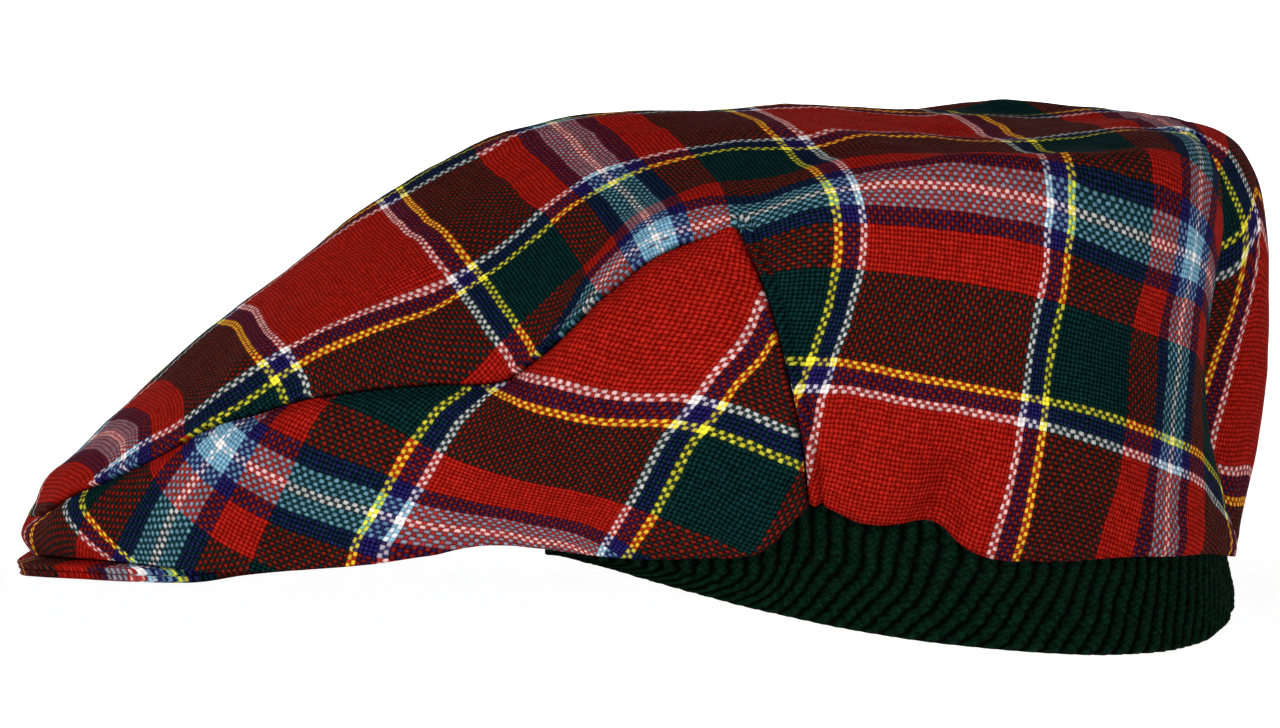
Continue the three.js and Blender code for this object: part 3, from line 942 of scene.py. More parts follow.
@dataclass
class Sheet:
    """A sheet of cloth as a net: outer and inner corners, quads and places in the cloth."""

    outer: list[Array] = field(default_factory=list)
    inner: list[Array] = field(default_factory=list)
    cloth: list[Array] = field(default_factory=list)
    quads: list[Array] = field(default_factory=list)
    count: int = 0

    def add(self, outer: Array, inner: Array, cloth: Array) -> Array:
        """Adds a block of corners.

        Args:
            outer: Points of the outer face.
            inner: Points of the inner face, opposite them.
            cloth: Their places in the cloth.

        Returns:
            The numbers of the corners, in the block's shape.
        """
        shape = outer.shape[:-1]
        ids = np.arange(self.count, self.count + int(np.prod(shape))).reshape(shape)
        self.outer.append(outer.reshape(-1, 3))
        self.inner.append(inner.reshape(-1, 3))
        self.cloth.append(cloth.reshape(-1, 2))
        self.count += ids.size
        return ids

    def net(self, ids: Array, closed: bool = False) -> None:
        """Joins a block of corners by quads.

        Args:
            ids: The corners' numbers, [column, row].
            closed: Whether the last column is joined to the first.
        """
        last = len(ids) if closed else len(ids) - 1
        self.quads.append(quads_between(ids[:last], np.roll(ids, -1, axis=0)[:last]))

    def mesh(self, name: str) -> bpy.types.Object:
        """Closes the sheet along its open edges and makes an object of it.

        Args:
            name: Name of the object.

        Returns:
            The object.
        """
        quads = np.concatenate(self.quads)
        n = self.count
        edges = np.stack([quads, np.roll(quads, -1, axis=1)], -1).reshape(-1, 2)
        edges = edges[edges[:, 0] != edges[:, 1]]
        key, back = edges[:, 0] * n + edges[:, 1], edges[:, 1] * n + edges[:, 0]
        rim = edges[~np.isin(key, back)]
        walls = np.stack([rim[:, 0], rim[:, 0] + n, rim[:, 1] + n, rim[:, 1]], 1)
        sides = np.concatenate([quads, quads[:, ::-1] + n, walls])
        faces = [tuple(dict.fromkeys(side)) for side in sides.tolist()]
        obj = make_object(name, np.concatenate(self.outer + self.inner) * MM, faces)
        cloth = np.concatenate(self.cloth)
        both = np.concatenate([np.c_[cloth, np.zeros(n)], np.c_[cloth, np.ones(n)]])
        places = obj.data.attributes.new("cloth", "FLOAT_VECTOR", "POINT")
        places.data.foreach_set("vector", both.astype(np.float32).ravel())
        obj.data.validate()
        obj.data.update()
        return obj


class Slot(Enum):
    """The two materials that the part names."""

    WOOL = "tartan_wool"
    KNIT = "green_knit"


class Piece:
    """A sub-assembly whose meshes are shown in place of the frame's solids."""

    def dress(self, obj: bpy.types.Object, material: bpy.types.Material, slot: Slot, *nodes: str) -> None:
        """Gives a mesh its material, hangs it on the root body and hides any solids that it replaces.

        Args:
            obj: The mesh's object.
            material: Its material.
            slot: The part's slot for that material; not used.
            nodes: Solids that the mesh replaces.
        """
        obj.data.materials.append(material)
        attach(obj, "root")
        if nodes:
            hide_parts(*nodes)
        LOG.info("%s: %d corners, %d faces", obj.name, len(obj.data.vertices), len(obj.data.polygons))


# Shader nodes


class Socket:
    """A number or colour in a material, with the usual operators."""

    def __init__(self, tree: "Tree", link: Any) -> None:
        """Keeps the socket and the tree that it is in."""
        self.tree, self.link = tree, link

    def _math(self, operation: str, *values: Any) -> "Socket":
        """A Math node on some values."""
        return self.tree.node("ShaderNodeMath", {"operation": operation}, dict(enumerate(values)))

    def __add__(self, other: Any) -> "Socket":
        """Sum."""
        return self._math("ADD", self, other)

    __radd__ = __add__

    def __sub__(self, other: Any) -> "Socket":
        """Difference."""
        return self._math("SUBTRACT", self, other)

    def __rsub__(self, other: Any) -> "Socket":
        """Difference, from a number."""
        return self._math("SUBTRACT", other, self)

    def __mul__(self, other: Any) -> "Socket":
        """Product."""
        return self._math("MULTIPLY", self, other)

    __rmul__ = __mul__

    def __truediv__(self, other: Any) -> "Socket":
        """Quotient."""
        return self._math("DIVIDE", self, other)

    def __rtruediv__(self, other: Any) -> "Socket":
        """Quotient, of a number."""
        return self._math("DIVIDE", other, self)

    def __pow__(self, other: Any) -> "Socket":
        """Power."""
        return self._math("POWER", self, other)

    def __rpow__(self, other: Any) -> "Socket":
        """Power, of a number."""
        return self._math("POWER", other, self)

    def __gt__(self, other: Any) -> "Socket":
        """1 where this is greater, else 0."""
        return self._math("GREATER_THAN", self, other)

    def __lt__(self, other: Any) -> "Socket":
        """1 where this is less, else 0."""
        return self._math("LESS_THAN", self, other)

    def call(self, operation: str, *values: Any) -> "Socket":
        """A Math node of this operation, with this socket first."""
        return self._math(operation, self, *values)

    def clamp(self) -> "Socket":
        """The value kept between 0 and 1."""
        return self.tree.node("ShaderNodeClamp", {}, {"Value": self})


class Tree:
    """The nodes of one material."""

    def __init__(self, name: str) -> None:
        """Starts an empty material."""
        self.material = bpy.data.materials.new(name)
        self.material.use_nodes = True
        self.nodes = self.material.node_tree.nodes
        self.links = self.material.node_tree.links
        self.nodes.clear()

    def node(self, kind: str, settings: dict[str, Any], inputs: dict[Any, Any], output: Any = 0) -> Socket:
        """Adds a node.

        Args:
            kind: Blender's name of the node's type.
            settings: Its properties; "stops" fills a colour ramp.
            inputs: Values or sockets by input name or number.
            output: Name or number of the wanted output; None for a node that has none.

        Returns:
            The wanted output.
        """
        made = self.nodes.new(kind)
        for key, value in settings.items():
            if key == "stops":
                self._fill(made.color_ramp, value)
            elif key == "interpolation" and hasattr(made, "color_ramp"):
                made.color_ramp.interpolation = value
            else:
                setattr(made, key, value)
        for key, value in inputs.items():
            if isinstance(value, Socket):
                self.links.new(value.link, made.inputs[key])
            else:
                made.inputs[key].default_value = value
        return Socket(self, None if output is None else made.outputs[output])

    def _fill(self, ramp: bpy.types.ColorRamp, stops: list[tuple[float, Colour]]) -> None:
        """Gives a ramp its stops.

        Args:
            ramp: A node's ramp.
            stops: Places and colours.
        """
        while len(ramp.elements) > 1:
            ramp.elements.remove(ramp.elements[-1])
        ramp.elements[0].position, ramp.elements[0].color = stops[0][0], (*stops[0][1], 1)
        for place, colour in stops[1:]:
            ramp.elements.new(place).color = (*colour, 1)

    def split(self, vector: Socket) -> tuple[Socket, Socket, Socket]:
        """The three numbers of a vector."""
        outputs = self.node("ShaderNodeSeparateXYZ", {}, {0: vector}).link.node.outputs
        return Socket(self, outputs[0]), Socket(self, outputs[1]), Socket(self, outputs[2])

    def mix(self, factor: Any, a: Any, b: Any, blend: str = "MIX") -> Socket:
        """Mixes two colours."""
        settings = {"data_type": "RGBA", "blend_type": blend}
        return self.node("ShaderNodeMix", settings, {0: factor, 6: a, 7: b}, 2)

    def vector(self, operation: str, *values: Any, output: str = "Vector") -> Socket:
        """A Vector Math node on some vectors or colours."""
        return self.node("ShaderNodeVectorMath", {"operation": operation}, dict(enumerate(values)), output)

    def grey(self, value: Socket) -> Socket:
        """A grey of this value."""
        return self.node("ShaderNodeCombineColor", {}, {0: value, 1: value, 2: value})

    def attribute(self, name: str) -> Socket:
        """A vector that the mesh carries at its corners."""
        return self.node("ShaderNodeAttribute", {"attribute_name": name}, {}, "Vector")

    def object_place(self) -> Socket:
        """The place on the object, in metres."""
        return self.node("ShaderNodeTexCoord", {}, {}, "Object")

    def noise(self, vector: Socket, scale: float, detail: float = 2.0, roughness: float = 0.5) -> Socket:
        """Noise between 0 and 1 that follows a vector."""
        inputs = {"Vector": vector, "Scale": scale, "Detail": detail, "Roughness": roughness}
        return self.node("ShaderNodeTexNoise", {}, inputs)

    def bump(self, height: Socket, strength: float, distance: float) -> Socket:
        """Normals that follow a height; the distance is in metres."""
        inputs = {"Height": height, "Strength": strength, "Distance": distance}
        return self.node("ShaderNodeBump", {}, inputs)

    def finish(self, **surface: Any) -> bpy.types.Material:
        """Ends the material with its surface shader.

        Args:
            surface: Values or sockets of the shader; a low dash stands for a blank in a name.

        Returns:
            The material.
        """
        inputs = {name.replace("_", " "): value for name, value in surface.items()}
        shader = self.node("ShaderNodeBsdfPrincipled", {}, inputs)
        self.node("ShaderNodeOutputMaterial", {}, {"Surface": shader}, None)
        return self.material


@dataclass(frozen=True)
class Band:
    """A stripe in half of the tartan's repeat: its colour and its threads."""

    colour: Colour
    threads: int


@dataclass(frozen=True)
class TartanWool:
    """Plain-woven wool with the same stripes along and across.

    Attributes:
        red: Colour of the ground's first yarn; the other yarns' colours follow.
        relief_mm: Height of a thread over its neighbours.
        float_width: Half the width of a visible thread, in threads.
        float_length: Half the length of thread that shows between two crossings.
        edge_softness: How gently one thread gives way to the next; less is gentler.
        wander: How far the threads stray from their rows, in threads.
        shiver: How far they stray over short stretches.
        shine_through: Share of its own shade that a thread keeps over a dark one.
        dulling: How much darker two dark colours look that differ much.
        bleed: Share of the crossed thread's colour in the one that shows.
    """

    red: Colour = (0.305, 0.0135, 0.0075)
    green: Colour = (0.0032, 0.0235, 0.0228)
    navy: Colour = (0.018, 0.013, 0.085)
    azure: Colour = (0.195, 0.365, 0.475)
    yellow: Colour = (0.88, 0.76, 0.06)
    white: Colour = (0.82, 0.75, 0.75)
    relief_mm: float = 0.35
    float_width: float = 0.42
    float_length: float = 0.58
    edge_softness: float = 5.0
    wander: float = 0.5
    shiver: float = 0.45
    shine_through: float = 0.46
    dulling: float = 0.09
    bleed: float = 0.02

    def half_repeat(self) -> tuple[Band, ...]:
        """The stripes from the middle of the light blue to the middle of the red."""
        return (
            Band(self.white, 1), Band(self.azure, 4), Band(self.navy, 4), Band(self.red, 10),
            Band(self.green, 20), Band(self.yellow, 2), Band(self.navy, 4), Band(self.white, 2),
            Band(self.red, 22),
        )

    def stops(self) -> list[tuple[float, Colour]]:
        """Lists the half repeat for a ramp.

        Returns:
            The place and the colour of each stripe.
        """
        bands = self.half_repeat()
        total = sum(b.threads for b in bands)
        places = [sum(b.threads for b in bands[:i]) / total for i in range(len(bands))]
        return [(place, band.colour) for place, band in zip(places, bands)]

    def material(self) -> bpy.types.Material:
        """Builds the cloth's nodes; the cloth attribute counts threads along and down.

        Returns:
            The material.
        """
        tree = Tree("tartan_wool")
        half = float(sum(b.threads for b in self.half_repeat()))
        place = tree.attribute("cloth")
        on_object = tree.object_place()
        wander = (tree.noise(on_object, 260.0, 2.0) - 0.5) * self.wander
        shiver = (tree.noise(on_object, 1100.0, 1.0) - 0.5) * self.shiver
        along, down, _ = tree.split(place)
        along, down = along + wander + shiver, down - wander + shiver
        number = [v.call("FLOOR") for v in (along, down)]
        offset = [(v.call("FRACT") - 0.5).call("ABSOLUTE") for v in (along, down)]
        ramp = {"interpolation": "CONSTANT", "stops": self.stops()}
        colour = [tree.node("ShaderNodeValToRGB", ramp, {"Fac": (n + 0.5).call("PINGPONG", half) / half})
                  for n in number]
        first_on_top = (number[0] + number[1]).call("FLOORED_MODULO", 2.0)
        across = offset[1] + (offset[0] - offset[1]) * first_on_top
        lengthwise = offset[0] + (offset[1] - offset[0]) * first_on_top
        to_top = self._distance(across / self.float_width, lengthwise / self.float_length)
        to_side = self._distance((1.0 - across) / self.float_length, lengthwise / self.float_width)
        top_seen = ((to_side - to_top) * self.edge_softness + 0.5).clamp()
        first_seen = 1.0 - (first_on_top - top_seen).call("ABSOLUTE")
        seen = tree.mix(first_seen, colour[1], colour[0])
        crossed = tree.mix(first_seen, colour[0], colour[1])
        nearest = to_top.call("MINIMUM", to_side)
        height = (1.0 - nearest * nearest).call("MAXIMUM", 0.0) ** 0.5
        cell = tree.node("ShaderNodeCombineXYZ", {}, {0: number[0], 1: number[1]})
        yarn = tree.node("ShaderNodeTexWhiteNoise", {"noise_dimensions": "2D"}, {"Vector": cell})
        fuzz = tree.noise(on_object, 2600.0, 3.0, 0.7)
        mottle = tree.noise(on_object, 38.0, 3.0, 0.6)
        # Painted shade: each thread is darker towards its edges and in the gaps between threads, after its
        # height; yarn, fuzz and mottle add the yarn's own random tone.
        light = (0.52 + (height ** 0.8) * 0.38) * (0.80 + yarn * 0.40)
        light = light * (0.76 + fuzz * 0.48) * (0.86 + mottle * 0.28)
        # Painted shade: where the threads sink into the gaps between them, the colour is raised to a higher
        # power, so it is deeper and darker there.
        shaded, depth = self._shaded_by(tree, seen, crossed), tree.grey(1.45 - height * 0.45)
        base = tree.vector("MULTIPLY", tree.vector("POWER", shaded, depth), tree.grey(light))
        return tree.finish(
            Base_Color=base, Roughness=0.82 + fuzz * 0.14,
            Normal=tree.bump(height + fuzz * 0.3, 0.5, self.relief_mm * MM), Specular_IOR_Level=0.01)

    def _distance(self, a: Socket, b: Socket) -> Socket:
        """Length of the vector (a, b)."""
        return (a * a + b * b) ** 0.5

    def _shaded_by(self, tree: Tree, seen: Socket, crossed: Socket) -> Socket:
        """Colour of a thread that takes on some shade of the one it crosses.

        Args:
            tree: The material's nodes.
            seen: Own colour of the thread that shows.
            crossed: Colour of the thread that it crosses.

        Returns:
            The thread's colour; two dark colours that differ much look darker still.
        """
        keep, ones = self.shine_through, (1.0, 1.0, 1.0)
        low, high = tree.vector("MINIMUM", seen, crossed), tree.vector("MAXIMUM", seen, crossed)
        share = tree.vector("POWER", tree.vector("DIVIDE", low, seen), (0.6, 0.6, 0.6))
        factor = tree.vector("MULTIPLY_ADD", share, (1 - keep,) * 3, (keep,) * 3)
        bright = tree.vector("DOT_PRODUCT", high, ones, output="Value")
        alike = tree.vector("DOT_PRODUCT", low, ones, output="Value") / bright
        dull = 1.0 - (bright < 1.0) * (alike < 0.2) * self.dulling
        bled = tree.mix(self.bleed, tree.vector("MULTIPLY", seen, factor), crossed)
        return tree.vector("MULTIPLY", bled, tree.grey(dull))


@dataclass(frozen=True)
class GreenKnit:
    """Very dark green ribbed wool knit.

    Attributes:
        colour: Colour of the yarn.
        relief_mm: Height of the stitches in the material.
    """

    colour: Colour = (0.0016, 0.0120, 0.0068)
    relief_mm: float = 0.6

    def material(self) -> bpy.types.Material:
        """Builds the knit's nodes; the cloth attribute counts columns of stitches and millimetres down.

        Returns:
            The material.
        """
        tree = Tree("green_knit")
        place = tree.attribute("cloth")
        on_object = tree.object_place()
        column, down, _ = tree.split(place)
        wander = tree.noise(on_object, 120.0, 2.0)
        column = column + (tree.noise(on_object, 640.0, 2.0) - 0.5) * 0.7
        side = (column.call("FRACT") - 0.5).call("ABSOLUTE")
        in_rib = ((column * 0.5).call("FRACT") - 0.5).call("ABSOLUTE") * 2.0
        crown = (1.0 - in_rib ** 1.8).call("MAXIMUM", 0.0)
        row = down / STITCH_MM + side * 1.3 + (wander - 0.5) * 1.6
        loop = (row * (2 * math.pi)).call("SINE") * 0.5 + 0.5
        strand = (side * math.pi).call("COSINE").call("MAXIMUM", 0.0) ** 0.5
        fuzz = tree.noise(on_object, 1900.0, 3.0, 0.7)
        blotch = tree.noise(on_object, 760.0, 2.0, 0.6)
        height = crown * 0.5 + loop * 0.35 + strand * 0.2 + fuzz * 0.3
        # Painted shade: the grooves between the ribs and the gaps between stitch columns and rows are dark,
        # and the tops of ribs and loops are light; fuzz and blotch add random tone.
        light = (crown ** 1.6) * (0.25 + loop * 0.6 + strand * 0.25)
        light = light * (0.3 + fuzz * 1.4) * (blotch * 2.6 - 0.3) + 0.02
        return tree.finish(
            Base_Color=tree.mix(1.0, (*self.colour, 1), tree.grey(light), "MULTIPLY"),
            Roughness=0.9 + fuzz * 0.08, Normal=tree.bump(height, 0.9, self.relief_mm * MM),
            Specular_IOR_Level=0.02)


@dataclass(frozen=True)
class SewingThread:
    """Dark polyester sewing thread with its twist; colour and lit are its two shades."""

    colour: Colour = (0.035, 0.012, 0.02)
    lit: Colour = (0.063, 0.0216, 0.036)

    def material(self) -> bpy.types.Material:
        """Builds the thread's nodes.

        Returns:
            The material.
        """
        tree = Tree("sewing_thread")
        twist = tree.noise(tree.object_place(), 3000.0, 2.0)
        return tree.finish(
            Base_Color=tree.mix(twist, (*self.colour, 1), (*self.lit, 1)), Roughness=0.5 + twist * 0.2,
            Normal=tree.bump(twist, 0.5, 0.1 * MM))


@dataclass(frozen=True)
class StudioPaper:
    """Matt white paper of the floor and wall; it glows more the further it lies from the cap."""

    colour: Colour = (0.86, 0.86, 0.86)
    grain: Colour = (0.8, 0.8, 0.8)

    def material(self) -> bpy.types.Material:
        """Builds the paper's nodes.

        Returns:
            The material.
        """
        tree = Tree("studio_paper")
        place = tree.object_place()
        fibres = tree.noise(place, 60.0, 2.0)
        across, along, _ = tree.split(place)
        far = (((across * across + along * along) ** 0.5 - 1.0) * 0.8).clamp()
        return tree.finish(
            Base_Color=tree.mix(fibres * 0.1, (*self.colour, 1), (*self.grain, 1)), Roughness=0.9,
            Emission_Color=tree.grey(far * 0.60 + 0.46), Emission_Strength=1.0)


# The pieces


def sheet_pair(phi: Array, w: Array) -> tuple[Array, Array]:
    """Finds both faces of the crown's cloth.

    Args:
        phi: Angles, in degrees.
        w: Places up the sections.

    Returns:
        Points of the outer face, and of the inner face, which follows the pressed surface because
        that is smooth enough for an even wall.
    """
    outer = WORN.fine(phi, w)
    return outer, outer - normal_of(WORN.pressed, phi, w) * CLOTH_MM


def section_length(phi: Array, w_start: float, w_end: Array) -> Array:
    """Measures along sections of the crown.

    Args:
        phi: Angles, in degrees.
        w_start: Where to start.
        w_end: Where to end.

    Returns:
        The lengths, in millimetres.
    """
    t = np.linspace(0, 1, 25)
    ws = w_start + (w_end[..., None] - w_start) * t
    p = CROWN.plain(np.broadcast_to(phi[..., None], ws.shape), ws)
    return np.linalg.norm(np.diff(p, axis=-2), axis=-1).sum(axis=-1)


def gap_degrees(radius: float) -> float:
    """Half of a seam's gap as an angle, in degrees."""
    return math.degrees(SEAM_GAP_MM / 2 / radius)


WALL_STEPS = np.array([0, 0.05, 0.11, 0.18, 0.25, 0.32, 0.39, 0.45, 0.5])
ROOF_STEPS = np.array([0.5, 0.52, 0.55, 0.585, 0.63, 0.68, 0.74, 0.8, 0.87, 0.94, 1.0])
APEX = np.array([[1.0]])


@dataclass
class CrownTop(Piece):
    """Roof and rear sides in one piece, drawn in along the back seam.

    Attributes:
        step_deg: Angle between two columns of the coarse net.
        factor: Fine columns and rows for each coarse one.
        fan: How much closer the columns lie to each other near the rear seam than at the back.
        lip_w: Where the roof starts over a side panel.
        slit_deg: Half of the back seam's gap, as an angle.
    """

    step_deg: float = 4.0
    factor: int = 6
    fan: float = 1.25
    lip_w: float = 0.5004
    slit_deg: float = math.degrees(0.1 / 100)

    def spread(self, phi: Array, w: Array) -> Array:
        """Fans out the columns behind the corner along the rear seam.

        Args:
            phi: Even angles, in degrees.
            w: Places up the sections.

        Returns:
            The angles of the net's corners.
        """
        gap, corner = gap_degrees(88), CROWN.corner_deg
        seam = CROWN.rear_seam(np.minimum(w, 0.5)) + gap
        opened = np.where(w > 0.5, corner + gap * np.maximum(0, 1 - (w - 0.5) * 20), seam)
        share = (np.maximum(0, np.abs(phi) - corner) / (180 - corner)) ** self.fan
        return np.where(np.abs(phi) >= corner, np.sign(phi) * (opened + share * (180 - opened)), phi)

    def coarse(self) -> tuple[Array, Array, Array, Array]:
        """Lists the coarse net.

        Returns:
            Angles and rows of the roof, then angles and rows of a rear side.
        """
        last, corner = round(180 / self.step_deg), round(CROWN.corner_deg / self.step_deg)
        ring = np.arange(-last + 1, last + 1) * self.step_deg
        roof_phi, roof_w = np.meshgrid(ring, ROOF_STEPS[:-1], indexing="ij")
        columns = np.arange(corner, last + 1) * self.step_deg
        wall_phi, wall_w = np.meshgrid(columns, WALL_STEPS, indexing="ij")
        return roof_phi, roof_w, wall_phi, wall_w

    def layout(self) -> tuple[Array, Array, Array, Array]:
        """Lays the cloth on the coarse net.

        Returns:
            Places in the cloth of the roof, the apex, the left rear side and the right rear side.
        """
        roof_phi, roof_w, wall_phi, wall_w = self.coarse()
        blocks = [(roof_phi, roof_w), (APEX * 0, APEX), (wall_phi, wall_w), (-wall_phi, wall_w)]
        points, ids, starts, count = [], [], [], 0
        for phi, w in blocks:
            place = self.spread(phi, w)
            points.append(WORN.pressed(place, w).reshape(-1, 3))
            reach, a = section_length(place, 1.0, w) / THREAD_MM, np.radians(place)
            starts.append(np.stack([-reach * np.cos(a), -reach * np.sin(a)], -1).reshape(-1, 2))
            ids.append(np.arange(count, count + phi.size).reshape(phi.shape))
            count += phi.size
        joined = self._joined(ids, roof_phi[:, 0].tolist(), wall_phi[:, 0], count)
        faces = joined[self._triangles(*ids)]
        used, packed = np.unique(faces, return_inverse=True)
        points, starts = np.concatenate(points)[used], np.concatenate(starts)[used]
        full = np.zeros((count, 2))
        full[used] = ClothLayout(points, packed.reshape(-1, 3), starts, TOP_STRIPES).solve()
        full = full[joined]
        return tuple(full[i] for i in ids)

    def _joined(self, ids: list[Array], ring: list[float], columns: Array, count: int) -> Array:
        """Makes one corner of the two where a rear side meets the roof.

        Args:
            ids: Numbers of the corners of the four blocks.
            ring: Angles of the roof's columns.
            columns: Angles of a rear side's columns.
            count: How many corners there are.

        Returns:
            For each corner, the one that stands for it.
        """
        joined = np.arange(count)
        for side, block in ((1, ids[2]), (-1, ids[3])):
            for j, phi in enumerate(columns):
                column = side * phi if abs(phi) < 180 else 180.0
                joined[block[j, -1]] = ids[0][ring.index(column), 0]
        return joined

    def _triangles(self, roof: Array, apex: Array, left: Array, right: Array) -> Array:
        """Lists the coarse net's triangles.

        Args:
            roof: Numbers of the roof's corners.
            apex: Number of the middle of the roof.
            left: Numbers of the left rear side's corners.
            right: Numbers of the right rear side's corners.

        Returns:
            Three numbers for each triangle, anticlockwise from outside.
        """
        rolled = np.roll(roof, -1, axis=0)
        pairs = ((roof, rolled), (left[:-1], left[1:]), (right[1:], right[:-1]))
        q = np.concatenate([quads_between(a, b) for a, b in pairs])
        fan = np.stack([roof[:, -1], rolled[:, -1], np.full(len(roof), apex[0, 0])], 1)
        return np.concatenate([q[:, [0, 1, 2]], q[:, [0, 2, 3]], fan])

    def build(self, wool: bpy.types.Material) -> None:
        """Makes the fine piece and dresses it.

        Args:
            wool: Material of the cloth.
        """
        roof_cloth, apex_cloth, left_cloth, right_cloth = self.layout()
        roof_phi, _, wall_phi, _ = self.coarse()
        sheet = Sheet()
        ring = self.step_deg - 180 + np.arange(roof_phi.shape[0] * self.factor) * self.step_deg / self.factor
        ring = np.where(ring > 180, ring - 360, ring)
        roof = self._add_roof(sheet, ring, roof_cloth, apex_cloth)
        rows = refine(WALL_STEPS[:, None], self.factor, 0)[:, 0]
        columns = refine(wall_phi[:, :1], self.factor, 0)[:, 0]
        phi, w = np.meshgrid(columns, rows[:-1], indexing="ij")
        lookup = {round(float(a), 3): i for i, a in enumerate(ring)}
        for side, side_cloth in ((1, left_cloth), (-1, right_cloth)):
            cloth = refine(refine(side_cloth, self.factor, 0), self.factor, 1)[:, :-1]
            place = side * self.spread(phi, w)
            slit = np.where(np.isclose(phi, 180), side * (180 - self.slit_deg), place)
            ids = sheet.add(*sheet_pair(slit, w), cloth)
            above = [lookup[round(float(side * a if a < 179.999 else 180.0), 3)] for a in columns]
            ids = np.concatenate([ids, roof[above, 0][:, None]], axis=1)
            sheet.net(ids if side > 0 else ids[::-1])
        self.dress(sheet.mesh("crown_cloth"), wool, Slot.WOOL, "crown_top")

    def _add_roof(self, sheet: Sheet, ring: Array, cloth: Array, apex_cloth: Array) -> Array:
        """Adds the roof to the sheet.

        Args:
            sheet: The sheet.
            ring: Angles of the fine columns.
            cloth: Places in the cloth of the coarse net.
            apex_cloth: Place in the cloth of the middle of the roof.

        Returns:
            The numbers of the roof's corners.
        """
        rows = refine(ROOF_STEPS[:, None], self.factor, 0)[:, 0]
        phi, w = np.meshgrid(ring, rows[:-1], indexing="ij")
        middle = np.broadcast_to(apex_cloth.reshape(1, 1, 2), (cloth.shape[0], 1, 2))
        fine = refine(np.concatenate([cloth, middle], 1), self.factor, 0, True)
        front = np.abs(phi) < CROWN.corner_deg
        seam_w = np.where(front & (w <= 0.5), self.lip_w, w)
        roof = sheet.add(*sheet_pair(self.spread(phi, w), seam_w), refine(fine, self.factor, 1)[:, :-1])
        sheet.net(roof, closed=True)
        top = WORN.pressed(APEX * 0, APEX)
        apex = sheet.add(top, top - np.array([0, 0, CLOTH_MM]), apex_cloth.reshape(1, 1, 2))[0, 0]
        last = roof[:, -1]
        middles = np.full(len(last), apex)
        sheet.quads.append(np.stack([last, np.roll(last, -1), middles, middles], 1))
        return roof


class Side(Enum):
    """Left or right half of the cap, by the sign of phi."""

    LEFT = 1
    RIGHT = -1


@dataclass
class SidePanel(Piece):
    """A front side panel, from the centre front to the rear seam.

    Attributes:
        side: Which half it is on.
        columns: Coarse steps from the centre front to the rear seam.
        factor: Fine columns and rows for each coarse one.
        top_w: Where the panel ends under the roof's edge.
    """

    side: Side
    columns: int = 23
    factor: int = 10
    top_w: float = 0.4996

    def net(self, share: Array, w: Array) -> Array:
        """Angles of the panel's net; share runs from the centre front to the rear seam."""
        start = gap_degrees(158)
        return start + (CROWN.rear_seam(np.minimum(w, 0.5)) - gap_degrees(88) - start) * share

    def layout(self) -> Array:
        """Lays the cloth on the left panel.

        Returns:
            Places in the cloth of its coarse net.
        """
        share, w = np.meshgrid(np.linspace(0, 1, self.columns + 1), WALL_STEPS, indexing="ij")
        phi = self.net(share, w)
        ids = np.arange(phi.size).reshape(phi.shape)
        quads = quads_between(ids[:-1], ids[1:])
        faces = np.concatenate([quads[:, [0, 1, 2]], quads[:, [0, 2, 3]]])
        points = WORN.pressed(phi, w)
        middle = WORN.pressed(phi, np.full_like(w, 0.25))[:, 0]
        run = np.concatenate([[0], np.cumsum(np.linalg.norm(np.diff(middle, axis=0), axis=1))])
        start = np.stack([np.broadcast_to(run[:, None], w.shape), points[..., 2]], -1)
        flat = ClothLayout(points.reshape(-1, 3), faces, start.reshape(-1, 2), SIDE_STRIPES).solve()
        return flat.reshape(*w.shape, 2)

    def build(self, wool: bpy.types.Material, cloth: Array) -> None:
        """Makes the fine panel and dresses it.

        Args:
            wool: Material of the cloth.
            cloth: The left panel's layout; the right panel uses it as well.
        """
        shares = np.linspace(0, 1, self.columns * self.factor + 1)
        rows = refine(WALL_STEPS[:, None], self.factor, 0)[:, 0]
        share, w = np.meshgrid(shares, rows, indexing="ij")
        phi = self.net(share, w) * self.side.value
        sheet = Sheet()
        fine = refine(refine(cloth, self.factor, 0), self.factor, 1)
        ids = sheet.add(*sheet_pair(phi, np.minimum(w, self.top_w)), fine)
        sheet.net(ids if self.side is Side.LEFT else ids[::-1])
        name = self.side.name.lower()
        self.dress(sheet.mesh(f"{name}_side_cloth"), wool, Slot.WOOL, f"side_panel_{name}")


@dataclass(frozen=True)
class PeakCover:
    """One cover of the peak.

    Attributes:
        name: Name of its mesh.
        node: The solid that it replaces.
        depth: How far its upper face lies below the peak's.
        roll_out: How far its edge rolls inwards.
        roll_drop: How far the edge's upper face rolls down.
        thinning: How much thinner the edge is.
    """

    name: str
    node: str
    depth: float
    roll_out: float
    roll_drop: float
    thinning: float


